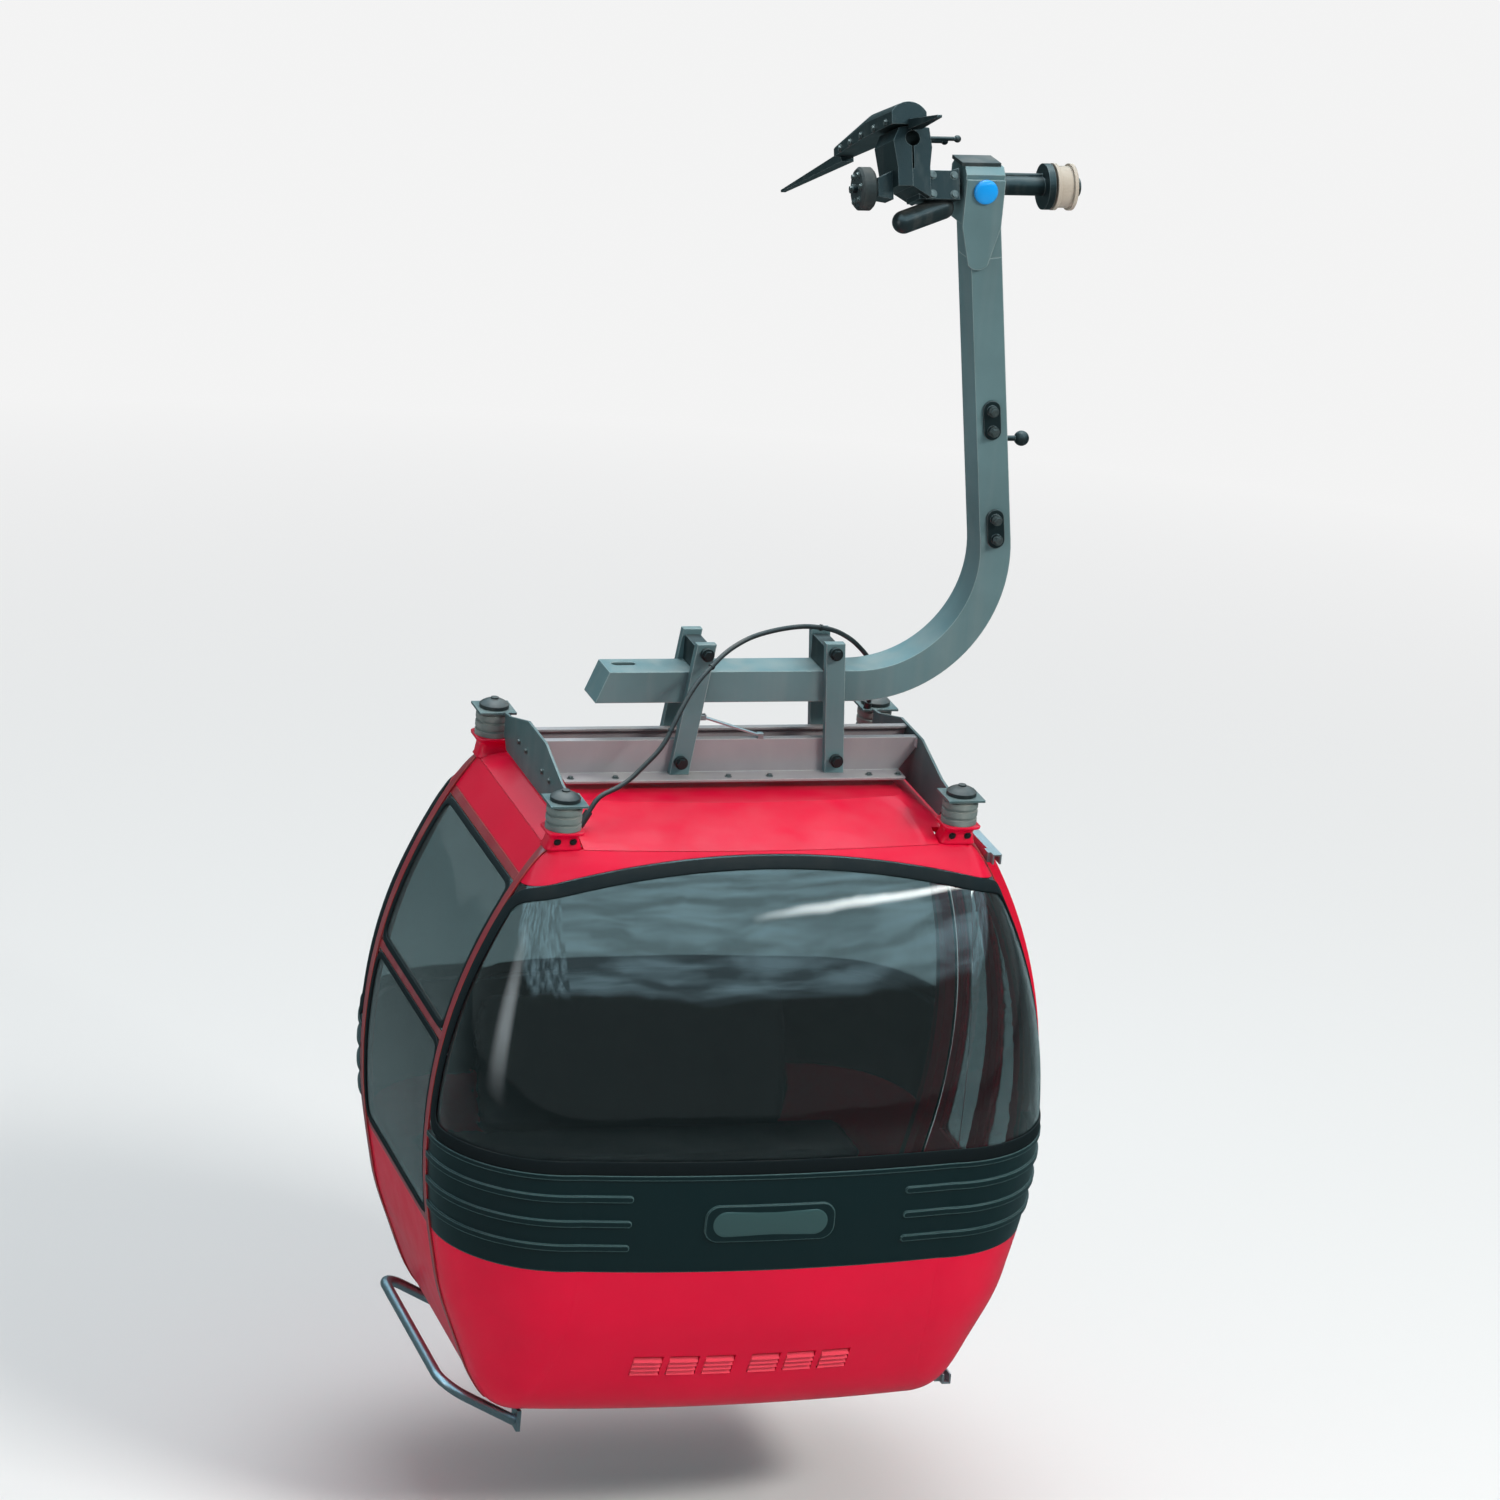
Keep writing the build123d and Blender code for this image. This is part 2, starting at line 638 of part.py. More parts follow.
def make_controls():
    top_x, foot_x = links[0]
    start_y, start_z = pull_rod_start
    bar_slope = (top_x - foot_x) / (link_top_z + link_end - channel_low_z - frame_sheet)
    bar_x = top_x - (link_top_z + link_end - start_z - lug / 2) * bar_slope + link_width / 2
    start = Vector(bar_x + lug / 2 + seat_gap, start_y, start_z)
    finish = Vector(*pull_rod_end, channel_top_z + lug / 2)
    rod_axis = Plane(origin=(start + finish) / 2, z_dir=finish - start)
    length = (finish - start).length
    pull_rod = rod_axis * Cylinder(pull_rod_radius, length)
    for end in (start, finish):
        pull_rod += Pos(end.X, end.Y, end.Z) * Box(lug, lug, lug)
    yield "pull_rod", pull_rod
    radii = cable_arcs(cable_route)
    print("cable bends", [round(radius) for radius in radii])
    route = FilletPolyline(*cable_route, radius=radii)
    yield "control_cable", sweep(Plane(origin=route @ 0, z_dir=route % 0) * Circle(cable_radius), path=route)
    root = Plane(origin=route @ 0, z_dir=route % 0) * Pos(0, 0, -gland_length / 2) * Cylinder(gland_radius, gland_length)
    root -= Pos(0, 0, panel_gap) * roof_solid(0)
    end = Plane(origin=route @ 1, z_dir=route % 1) * Pos(0, 0, gland_length / 2) * Cylinder(gland_radius, gland_length)
    end -= block(-far, far, -far, far, 0, damper_top_z + frame_sheet)
    yield "cable_glands", Compound([root.solids().sort_by(Axis.Z)[-1], end])


# Hanger

bend_end = (bend_start_x + bend_radius * cos(radians(arm_lean)), beam_z + bend_radius * (1 + sin(radians(arm_lean))))


def arm_x(z):
    """The arm's axis at a height."""
    return bend_end[0] - (z - bend_end[1]) * tan(radians(arm_lean))


def tube(width, depth):
    top_z = pivot_z - head_radius
    level_part = Line((beam_left_x, 0, beam_z), (bend_start_x, 0, beam_z))
    turn = 90 + arm_lean
    mid = radians(turn / 2)
    arc = ThreePointArc((bend_start_x, 0, beam_z),
                        (bend_start_x + bend_radius * sin(mid), 0, beam_z + bend_radius * (1 - cos(mid))),
                        (bend_end[0], 0, bend_end[1]))
    arm = Line((bend_end[0], 0, bend_end[1]), (arm_x(top_z), 0, top_z))
    route = Wire([level_part, arc, arm])
    start = Plane(origin=(beam_left_x, 0, beam_z), x_dir=(0, 1, 0), z_dir=(1, 0, 0))
    return sweep(start * Rectangle(depth, width), path=route)


def on_arm(z):
    """A place on the arm's axis, with its local Z along the arm."""
    return Pos(arm_x(z), 0, z) * Rot(0, -arm_lean, 0)


def make_hanger():
    half = tube_width / 2
    slant = polygon((beam_left_x - 1, beam_z + half + 1), (beam_left_x + beam_cut, beam_z + half + 1),
                    (beam_left_x - 1, beam_z - half))
    hollow = tube(tube_width - 2 * tube_wall, tube_depth - 2 * tube_wall)
    hollow -= Pos(end_plate, 0, 0) * along(slant, -far, far) + block(-far, beam_left_x + end_plate, -far, far, 0, far)
    hanger = tube(tube_width, tube_depth) - hollow - along(slant, -far, far)
    slot_x = beam_left_x + beam_cut + drain_place[0] + drain_slot[0] / 2
    hanger -= Pos(slot_x, drain_place[1], beam_z) * extrude(SlotOverall(*drain_slot), tube_width)
    bore = rod(shaft_radius + running, head_x[0] - 1, head_x[1] + 1, 0, pivot_z)
    top_z, low_z = pivot_z + head_radius, pivot_z - head_drop
    head = across(polygon((-head_radius, low_z), (head_radius, low_z), (head_radius, top_z - head_chamfer),
                          (head_radius - head_chamfer, top_z), (head_chamfer - head_radius, top_z),
                          (-head_radius, top_z - head_chamfer)), *head_x)
    head += on_arm(pivot_z - head_neck) * Box(tube_width, tube_depth, head_neck)
    yield "hanger", hanger - head
    yield "hanger_head", head - bore
    lid_y = head_radius - head_chamfer
    yield "head_lid", block(head_x[0] - lid_overhang, head_x[1] - lid_overhang, -lid_y, lid_y, top_z,
                            top_z + lid_thickness)
    middle = (head_x[0] + head_x[1]) / 2
    half = (head_x[1] - head_x[0]) / 2
    tip_z = shield_tip_z - pivot_z
    side_z, low_z = (tip_z * share for share in shield_taper)
    tip = half * shield_tip
    shield = Pos(middle, 0, pivot_z) * along(make_face([
        ThreePointArc((-tip, low_z), (0, tip_z), (tip, low_z)),
        Polyline((tip, low_z), (half, side_z), (half, head_radius / 2), (-half, head_radius / 2), (-half, side_z),
                 (-tip, low_z)),
    ]), -head_radius - shield_sheet, -head_radius)
    yield "head_shield", shield
    length, width, thickness = arm_plate
    face_y = -tube_depth / 2
    plates = []
    for z in arm_plate_z:
        plate = Pos(0, face_y, 0) * Rot(90, 0, 0) * extrude(SlotOverall(length, width, rotation=90), thickness)
        for dz in (-arm_bolt_pitch / 2, arm_bolt_pitch / 2):
            plate += pin(arm_bolt_radius, 0, face_y - thickness - bolt_head, face_y - thickness, dz)
        plates.append(on_arm(z) * plate)
    yield "arm_plates", Compound(plates)
    reach = arm_x(stub_z) + tube_width / 2 / cos(radians(arm_lean))
    stub = rod(stub_radius, reach - tube_wall, reach + stub_length, 0, stub_z)
    stub += Pos(reach + stub_length + ball_radius / 3, 0, stub_z) * Sphere(ball_radius)
    yield "arm_stub", stub - on_arm(stub_z) * Box(tube_width, tube_depth, 4 * ball_radius)
    cap_y = -head_radius - shield_sheet
    yield "blue_cap", pin(blue_cap_radius, middle, cap_y - blue_cap_height, cap_y, pivot_z)


# Grip, level, with the rope along Y through the origin

def capsule(radius, length):
    return Cylinder(radius, length) + Pos(0, 0, length / 2) * Sphere(radius) + Pos(0, 0, -length / 2) * Sphere(radius)


def hump_section(y, rise, share):
    low, high = (x * share for x in hump_x)
    shoulder = jaw_top + rise * hump_shoulder
    return Plane(origin=(0, y, 0), x_dir=(-1, 0, 0), z_dir=(0, 1, 0)) * make_face([
        Polyline((-low, shoulder), (-low, jaw_top), (-high, jaw_top), (-high, shoulder)),
        ThreePointArc((-high, shoulder), (-(low + high) / 2, jaw_top + rise), (-low, shoulder)),
    ])


def tongue_section(y, width, height):
    low = rope_radius + seat_gap
    return Plane(origin=(0, y, low + height / 2), x_dir=(-1, 0, 0), z_dir=(0, 1, 0)) * Rectangle(width, height)


def make_grip():
    groove = pin(rope_radius + running, 0, -far, far, 0)
    gap = jaw_gap / 2
    neck_z = jaw_split_z + column_swell
    column = along(polygon((gap, jaw_top), (column_width, jaw_top - jaw_crest),
                           (column_width + column_swell, -column_width / 2),
                           (column_width, neck_z), (column_width, casting_low_z), (-gap, jaw_split_z - column_width),
                           (-gap, jaw_split_z), (gap, jaw_split_z)), -jaw_half_length, jaw_half_length)
    arm_high_z = -pivot_drop + shaft_radius + collar
    arm_low_x = casting_x - shaft_radius
    arm = along(polygon((0, jaw_split_z), (arm_low_x, jaw_split_z), (casting_x, arm_high_z),
                        (casting_x, casting_low_z), (0, casting_low_z)), -casting_half_length, casting_half_length)
    arm -= block(-far, column_width / 2, -far, far, -far, far)
    shaft_hole = rod(shaft_radius, column_width / 2, far, 0, -pivot_drop)
    place = Pos(spring_x, 0, spring_z) * Rot(0, 90 - spring_tilt, 0)
    cradle = place * capsule(spring_radius + seat_gap, spring_length)
    yield "grip_body", column + arm - groove - shaft_hole - cradle
    yield "spring_tube", place * capsule(spring_radius, spring_length)
    top_x, foot_x = (jaw_outer_x * share for share in jaw_narrow)
    jaw = along(polygon((-gap, jaw_top), (top_x, jaw_top - jaw_crest), (jaw_outer_x, -column_swell),
                        (foot_x, jaw_split_z), (foot_x, jaw_split_z - column_width),
                        (-gap, jaw_split_z - column_width)), -jaw_half_length, jaw_half_length)
    yield "grip_jaw", jaw - groove - cradle
    lever_x = roller_x + coupling_roller_width / 2 + axle_end / 2
    lever = along(polygon((foot_x, jaw_split_z), (lever_x, -coupling_roller_drop + shaft_radius),
                          (lever_x, -coupling_roller_drop - shaft_radius), (foot_x, casting_low_z)),
                  -lever_width / 2, lever_width / 2)
    axle = rod(axle_radius, roller_x - coupling_roller_width / 2 - axle_end, lever_x, 0, -coupling_roller_drop)
    yield "jaw_lever", lever - cradle + axle
    shaft_end = guide_roller_x - guide_roller_width / 2 - collar_thickness - backing_thickness
    shaft = rod(shaft_radius, column_width / 2, shaft_end, 0, -pivot_drop)
    head_low, head_high = (x - rope_x for x in head_x)
    for x in (head_low - 2 * collar_thickness + panel_gap, head_high + collar_thickness - panel_gap):
        shaft += rod(shaft_radius + collar, x, x + collar_thickness, 0, -pivot_drop)
    shaft += rod(keeper_radius, head_high + 2 * collar_thickness - panel_gap, shaft_end, 0,
                 keeper_radius / 2 + shaft_radius - pivot_drop)
    shaft += rod(backing_radius, shaft_end, shaft_end + backing_thickness, 0, -pivot_drop)
    roller_end = guide_roller_x + guide_roller_width / 2 + axle_end / 2
    shaft += rod(axle_radius, shaft_end, roller_end + axle_end, 0, -pivot_drop)
    shaft += rod(axle_radius + axle_end, roller_end, roller_end + axle_end, 0, -pivot_drop)
    yield "grip_shaft", shaft
    near, middle, end = (hump_section(y, rise, share) for y, rise, share
                         in zip(hump_y, hump_rise, (1, 1, hump_narrow)))
    yield "grip_hump", loft([near, middle], ruled=True) + loft([middle, end], ruled=True)
    tongues = [loft([tongue_section(root_y, *tongue_root), tongue_section(tip_y, *tongue_tip)], ruled=True)
               for root_y, tip_y in zip((hump_y[0], hump_y[-1]), tongue_reach)]
    yield "rope_tongues", Compound(tongues)
    rods = []
    for y, reach in release_rods:
        bar = rod(release_rod_radius, column_width, reach, y, release_rod_z)
        rods.append(bar + Pos(reach, y, release_rod_z) * Sphere(release_knob) - column)
    yield "release_rods", Compound(rods)


def make_rollers():
    z = -coupling_roller_drop
    half = coupling_roller_width / 2
    disc = rod(coupling_roller_radius, roller_x - half, roller_x + half, 0, z)
    disc = chamfer(disc.edges().filter_by(GeomType.CIRCLE), coupling_roller_radius / 9)
    yield "coupling_roller", disc - rod(axle_radius + running, -far, far, 0, z)
    z = -pivot_drop
    half = guide_roller_width / 2
    wheel = rod(guide_roller_radius, guide_roller_x - half, guide_roller_x + half, 0, z)
    for x in (guide_roller_x - half, guide_roller_x + half - guide_roller_lip_width):
        wheel += rod(guide_roller_radius + guide_roller_lip, x, x + guide_roller_lip_width, 0, z)
    yield "guide_roller", wheel - rod(axle_radius + running, -far, far, 0, z)


# Guide rail at floor level

def make_guide():
    route = FilletPolyline((guide_foot_x, -guide_y, guide_foot_z), (guide_x, -guide_y, guide_z),
                           (guide_x, guide_y, guide_z), (guide_foot_x, guide_y, guide_foot_z), radius=guide_bend)
    start = route % 0
    tube_solid = sweep(Plane(origin=route @ 0, z_dir=start) * Circle(guide_tube_radius), path=route)
    tube_solid -= block(guide_foot_x, far, -far, far, -far, far)
    yield "guide_rail", tube_solid
    thickness, half, drop = guide_foot
    feet = []
    for y in (-guide_y, guide_y):
        feet.append(block(guide_foot_x, guide_foot_x + thickness, y - half, y + half, guide_foot_z - drop, body_low_z))
    yield "guide_feet", Compound(feet)


cabin_makers = (make_ends, make_roof, make_posts, make_floor, make_inner_side, make_door_frame, make_leaves,
                make_rails, make_benches, make_dampers, make_roof_frame, make_links, make_controls, make_hanger,
                make_guide)
grip_makers = (make_grip, make_rollers)

for makers, place in ((cabin_makers, hang), (grip_makers, tilt)):
    for make in makers:
        for name, shape in make():
            export_step(place * shape, f"parts/{name}.step")
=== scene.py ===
import math

import bmesh
import bpy
from mathutils import Matrix, Vector
from mathutils.bvhtree import BVHTree


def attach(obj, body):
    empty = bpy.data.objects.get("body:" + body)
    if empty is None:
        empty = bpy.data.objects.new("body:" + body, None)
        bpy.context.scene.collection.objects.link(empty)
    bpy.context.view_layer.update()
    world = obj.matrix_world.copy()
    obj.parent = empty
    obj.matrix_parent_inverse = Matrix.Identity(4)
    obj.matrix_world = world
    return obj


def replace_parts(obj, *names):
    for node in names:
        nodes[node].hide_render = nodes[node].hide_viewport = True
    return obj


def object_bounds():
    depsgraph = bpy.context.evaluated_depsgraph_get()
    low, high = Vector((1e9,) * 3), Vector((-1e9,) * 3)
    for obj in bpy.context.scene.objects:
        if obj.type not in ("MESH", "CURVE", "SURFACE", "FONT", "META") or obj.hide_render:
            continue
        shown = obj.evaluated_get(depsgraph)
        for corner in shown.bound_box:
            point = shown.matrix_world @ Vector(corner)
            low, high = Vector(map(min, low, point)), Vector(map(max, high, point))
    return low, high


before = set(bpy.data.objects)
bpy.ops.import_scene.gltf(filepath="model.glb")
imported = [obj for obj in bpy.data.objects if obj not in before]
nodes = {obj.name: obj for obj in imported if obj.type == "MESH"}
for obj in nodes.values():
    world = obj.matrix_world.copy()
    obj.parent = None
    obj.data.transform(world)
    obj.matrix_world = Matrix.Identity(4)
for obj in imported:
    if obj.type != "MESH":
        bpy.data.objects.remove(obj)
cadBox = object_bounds()
scene = bpy.context.scene
scene.view_settings.view_transform = "Standard"
print("frame loaded:", len(nodes), "nodes")

# The cabin's own axes, in the frame's metres: its sill is at height 0 and its middle at 0, 0
cabinOrigin = Vector((-0.420, -0.0505, -4.0790))
sideways, lengthways, upwards = Vector((1, 0, 0)), Vector((0, 1, 0)), Vector((0, 0, 1))
cabinEnds = (("front", -1), ("rear", 1))

# Camera, where the photograph was taken from, turned to the cabin
camera = {
    "place": (-6.110, -17.373, 4.114),
    "aim": (-0.335, -0.05, -2.02),
    "lean": 5.4,                # degrees that uprights lean to the right
    "lens": 142,                # on a 36 mm sensor
}


def addObject(name, data):
    item = bpy.data.objects.new(name, data)
    scene.collection.objects.link(item)
    return item


def makeCamera(spec):
    data = bpy.data.cameras.new("camera")
    data.lens = spec["lens"]
    item = addObject("camera", data)
    place = Vector(spec["place"])
    look = (Vector(spec["aim"]) - place).to_track_quat("-Z", "Y").to_matrix().to_4x4()
    lean = Matrix.Rotation(math.radians(spec["lean"]), 4, "Z")
    item.matrix_world = Matrix.Translation(place) @ look @ lean
    scene.camera = item


makeCamera(camera)
print("camera placed")


# Small helpers for node trees, for shaders and for geometry

def addNode(tree, kind, values=None, **settings):   # values are numbers, or outputs to link
    node = tree.nodes.new(kind)
    for key, value in settings.items():
        setattr(node, key, value)
    for key, value in (values or {}).items():
        if isinstance(value, bpy.types.NodeSocket):
            tree.links.new(value, node.inputs[key])
        else:
            node.inputs[key].default_value = value
    return node


def addMath(tree, operation, *values):
    return addNode(tree, "ShaderNodeMath", dict(enumerate(values)), operation=operation).outputs[0]


def addRange(tree, value, low, high, to=(0.0, 1.0)):
    return addNode(tree, "ShaderNodeMapRange", {0: value, 1: low, 2: high, 3: to[0], 4: to[1]}).outputs[0]


def addMix(tree, factor, a, b, blend="MIX"):
    values = {0: factor, 6: a, 7: b}
    return addNode(tree, "ShaderNodeMix", values, data_type="RGBA", blend_type=blend).outputs[2]


def addNoise(tree, place, scale, detail=3.0, stretch=None):
    if stretch:
        place = addNode(tree, "ShaderNodeMapping", {"Vector": place, "Scale": stretch}).outputs[0]
    values = {"Vector": place, "Scale": scale, "Detail": detail}
    return addNode(tree, "ShaderNodeTexNoise", values).outputs[0]


def addVector(tree, values):
    return addNode(tree, "ShaderNodeCombineXYZ", values).outputs[0]


def addHeight(tree, vector):
    return addNode(tree, "ShaderNodeSeparateXYZ", {0: vector}).outputs[2]


def addPlace(tree):         # each piece's object stands at the origin, so this is its place on the cabin
    return addNode(tree, "ShaderNodeTexCoord").outputs["Object"]


def addNormal(tree):
    return addNode(tree, "ShaderNodeNewGeometry").outputs["Normal"]


def makeGroup(name, inputs, outputs):
    group = bpy.data.node_groups.new(name, "ShaderNodeTree")
    for label, kind, value in inputs:
        socket = group.interface.new_socket(label, in_out="INPUT", socket_type="NodeSocket" + kind)
        socket.default_value = value
    for label, kind in outputs:
        group.interface.new_socket(label, in_out="OUTPUT", socket_type="NodeSocket" + kind)
    return group, group.nodes.new("NodeGroupInput").outputs, group.nodes.new("NodeGroupOutput").inputs


# Effects that several finishes share

def makeWeather():      # sun, dust that settles and rain that runs down
    group, given, out = makeGroup("weather", [
        ("Color", "Color", (0.5, 0.5, 0.5, 1)), ("Dust Color", "Color", (0.45, 0.42, 0.38, 1)),
        ("Dust", "Float", 0.3), ("Streaks", "Float", 0.2), ("Fade", "Float", 0.15),
        ("Roughness", "Float", 0.3),
    ], [("Color", "Color"), ("Roughness", "Float"), ("Height", "Float")])
    place = addPlace(group)
    cloud = addNoise(group, place, 2.3, 5.0)
    patch = addNoise(group, place, 11.0, 4.0)
    rain = addNoise(group, place, 1.0, 5.0, (17.0, 17.0, 0.8))
    level = addRange(group, addHeight(group, addNormal(group)), 0.35, 0.98)
    settled = addMath(group, "MULTIPLY", level, addRange(group, patch, 0.32, 0.68))
    settled = addMath(group, "MULTIPLY", settled, given["Dust"])
    run = addMath(group, "MULTIPLY", addRange(group, rain, 0.50, 0.74), given["Streaks"])
    dirt = addMath(group, "MAXIMUM", settled, run)
    shade = addMath(group, "MULTIPLY", addRange(group, cloud, 0.3, 0.7), given["Fade"])
    faded = addMix(group, shade, given["Color"], (0.35, 0.35, 0.35, 1), "MULTIPLY")
    group.links.new(addMix(group, dirt, faded, given["Dust Color"]), out["Color"])
    rough = addMath(group, "MULTIPLY_ADD", dirt, 0.4, given["Roughness"])
    rough = addMath(group, "MULTIPLY_ADD", addRange(group, patch, 0.3, 0.7), 0.07, rough)
    group.links.new(rough, out["Roughness"])
    group.links.new(addNoise(group, place, 240.0, 2.0), out["Height"])
    return group


def makeEdges():        # rounds the light over an edge, and says where an edge is, for a colour there that is partly rubbed wear and partly a painted highlight
    group, given, out = makeGroup("edges", [("Radius", "Float", 0.002)],
                                  [("Normal", "Vector"), ("Wear And Sheen", "Float")])
    soft = addNode(group, "ShaderNodeBevel", {"Radius": given["Radius"]}, samples=4).outputs[0]
    turned = addNode(group, "ShaderNodeVectorMath", {0: soft, 1: addNormal(group)}, operation="DOT_PRODUCT")
    group.links.new(soft, out["Normal"])
    group.links.new(addRange(group, turned.outputs["Value"], 0.985, 0.86), out["Wear And Sheen"])
    return group


def makeGrain():        # drawn, brushed or cast metal, by the stretch of its noise
    group, given, out = makeGroup("grain", [
        ("Color", "Color", (0.5, 0.5, 0.5, 1)), ("Stretch", "Vector", (1, 1, 1)), ("Scale", "Float", 60.0),
        ("Contrast", "Float", 0.2), ("Roughness", "Float", 0.35),
    ], [("Color", "Color"), ("Roughness", "Float"), ("Height", "Float")])
    place = addPlace(group)
    drawn = addNode(group, "ShaderNodeVectorMath", {0: place, 1: given["Stretch"]}, operation="MULTIPLY")
    lines = addNoise(group, drawn.outputs[0], given["Scale"], 4.0)
    amount = addMath(group, "MULTIPLY", addRange(group, lines, 0.3, 0.7), given["Contrast"])
    toned = addMix(group, amount, given["Color"], (0.06, 0.07, 0.07, 1))
    stain = addRange(group, addNoise(group, place, 6.0, 5.0), 0.52, 0.8, (0.0, 0.35))
    group.links.new(addMix(group, stain, toned, (0.11, 0.10, 0.09, 1)), out["Color"])
    group.links.new(addMath(group, "MULTIPLY_ADD", amount, 0.5, given["Roughness"]), out["Roughness"])
    group.links.new(lines, out["Height"])
    return group


weather = makeWeather()
edges = makeEdges()
grain = makeGrain()


def placeGroup(tree, group, values):
    node = addNode(tree, "ShaderNodeGroup", None, node_tree=group)
    for key, value in values.items():
        node.inputs[key].default_value = value
    return node


def colour(rgb):
    return (*rgb, 1.0)


# Finishes. weather is dust, streaks and fade, and edge is a radius in metres. The colour given for edges is
# partly rubbed wear and partly a painted highlight along them
finishes = {
    "bodyRed": {
        "colour": (0.75, 0.0, 0.036), "rough": 0.30, "coat": 0.15, "specular": 0.22,
        "weather": (0.05, 0.0, 0.16), "edge": 0.003, "bump": 0.02},
    # posts: a darker red, partly their own paint and partly painted shade on their sideways faces; their
    # orange-red edge colour is a painted highlight
    "postDarkRedWithShade": {
        "colour": (0.30, 0.008, 0.020), "rough": 0.32, "coat": 0.4,
        "weather": (0.25, 0.15, 0.2), "edge": 0.004, "edgeWearAndSheen": (0.72, 0.08, 0.04), "bump": 0.03},
    # the band's and the plate's lighter teal edge colours are painted highlights on ribs, lip and rim
    "bandBlack": {
        "colour": (0.003, 0.014, 0.016), "rough": 0.30, "coat": 0.2, "specular": 0.35,
        "weather": (0.10, 0.0, 0.0), "edge": 0.006, "edgeWearAndSheen": (0.10, 0.19, 0.19), "bump": 0.04},
    "plateBlank": {
        "colour": (0.030, 0.075, 0.076), "rough": 0.40,
        "weather": (0.10, 0.0, 0.1), "edge": 0.004, "edgeWearAndSheen": (0.14, 0.22, 0.22), "bump": 0.06},
    "hangerGrey": {
        "colour": (0.162, 0.268, 0.282), "rough": 0.44, "metal": 0.3,
        "weather": (0.35, 0.10, 0.5), "edge": 0.005, "edgeWearAndSheen": (0.42, 0.50, 0.49), "bump": 0.12},
    "frameGrey": {
        "colour": (0.36, 0.33, 0.345), "rough": 0.46, "metal": 0.2,
        "weather": (0.50, 0.15, 0.5), "edge": 0.004, "edgeWearAndSheen": (0.56, 0.54, 0.52), "bump": 0.12},
    "plateTeal": {
        "colour": (0.085, 0.150, 0.155), "rough": 0.42, "metal": 0.3,
        "weather": (0.35, 0.12, 0.4), "edge": 0.004, "edgeWearAndSheen": (0.26, 0.33, 0.33), "bump": 0.12},
    "gripSteel": {
        "colour": (0.016, 0.030, 0.033), "rough": 0.40, "metal": 0.5,
        "weather": (0.18, 0.1, 0.3), "edge": 0.003, "edgeWearAndSheen": (0.26, 0.30, 0.30), "bump": 0.25},
    "springBlack": {
        "colour": (0.010, 0.018, 0.020), "rough": 0.35, "coat": 0.2,
        "weather": (0.2, 0.15, 0.1), "edge": 0.003, "edgeWearAndSheen": (0.10, 0.12, 0.12), "bump": 0.05},
    "rubber": {
        "colour": (0.155, 0.195, 0.185), "rough": 0.72,
        "weather": (0.45, 0.25, 0.25), "edge": 0.002, "bump": 0.2},
    "discRubber": {
        "colour": (0.020, 0.026, 0.026), "rough": 0.66,
        "weather": (0.25, 0.1, 0.1), "edge": 0.003, "bump": 0.2},
    "capBlack": {
        "colour": (0.012, 0.017, 0.018), "rough": 0.38,
        "weather": (0.25, 0.1, 0.0), "edge": 0.003, "bump": 0.08},
    "capBlue": {
        "colour": (0.0, 0.30, 0.78), "rough": 0.30, "coat": 0.3,
        "weather": (0.12, 0.05, 0.05), "edge": 0.002, "bump": 0.03},
    "rollerBeige": {
        "colour": (0.50, 0.43, 0.35), "rough": 0.55,
        "weather": (0.25, 0.2, 0.25), "edge": 0.003, "bump": 0.15},
    "benchGrey": {
        "colour": (0.045, 0.050, 0.054), "rough": 0.48,
        "weather": (0.12, 0.0, 0.1), "edge": 0.003, "bump": 0.12},
    "lidDark": {
        "colour": (0.022, 0.032, 0.034), "rough": 0.45,
        "weather": (0.3, 0.1, 0.1), "edge": 0.003, "bump": 0.1},
    "cableBlack": {
        "colour": (0.014, 0.018, 0.019), "rough": 0.48,
        "weather": (0.25, 0.0, 0.1), "edge": 0.001, "bump": 0.1},
    "glandBlack": {
        "colour": (0.012, 0.016, 0.017), "rough": 0.42,
        "weather": (0.25, 0.0, 0.1), "edge": 0.002, "bump": 0.1},
    "sealRubber": {
        "colour": (0.005, 0.008, 0.009), "rough": 0.60, "specular": 0.15,
        "weather": (0.04, 0.0, 0.0), "edge": 0.002, "bump": 0.05},
    # vent slats: a lighter red than the body, painted light on their upward faces
    "ventLitRed": {
        "colour": (0.95, 0.060, 0.105), "rough": 0.30, "coat": 0.3,
        "weather": (0.10, 0.0, 0.2), "edge": 0.002, "bump": 0.02},
}
metals = {      # stretch draws the grain out along the axis with the smallest number
    "railAluminium": {"colour": (0.60, 0.62, 0.63), "rough": 0.33, "stretch": (60, 1.2, 60),
                      "contrast": 0.25},
    "guideSteel": {"colour": (0.36, 0.43, 0.47), "rough": 0.28, "stretch": (40, 1, 40), "contrast": 0.3},
    "floorAluminium": {"colour": (0.36, 0.37, 0.37), "rough": 0.42, "stretch": (1.5, 30, 30),
                       "contrast": 0.3},
    "benchAluminium": {"colour": (0.48, 0.49, 0.50), "rough": 0.38, "stretch": (30, 30, 1.5),
                       "contrast": 0.2},
    "rodSteel": {"colour": (0.62, 0.66, 0.66), "rough": 0.30, "stretch": (3, 3, 40), "contrast": 0.15},
    "boltZinc": {"colour": (0.20, 0.21, 0.20), "rough": 0.42, "stretch": (8, 8, 8), "contrast": 0.4},
    "boltDark": {"colour": (0.05, 0.06, 0.06), "rough": 0.42, "stretch": (8, 8, 8), "contrast": 0.3},
}
paintSkin = {"depth": 0.002, "coatRough": 0.08}
metalSkin = {"depth": 0.001, "grain": 12.0, "edge": 0.002, "bump": 0.08, "metal": 0.9}
made = {}


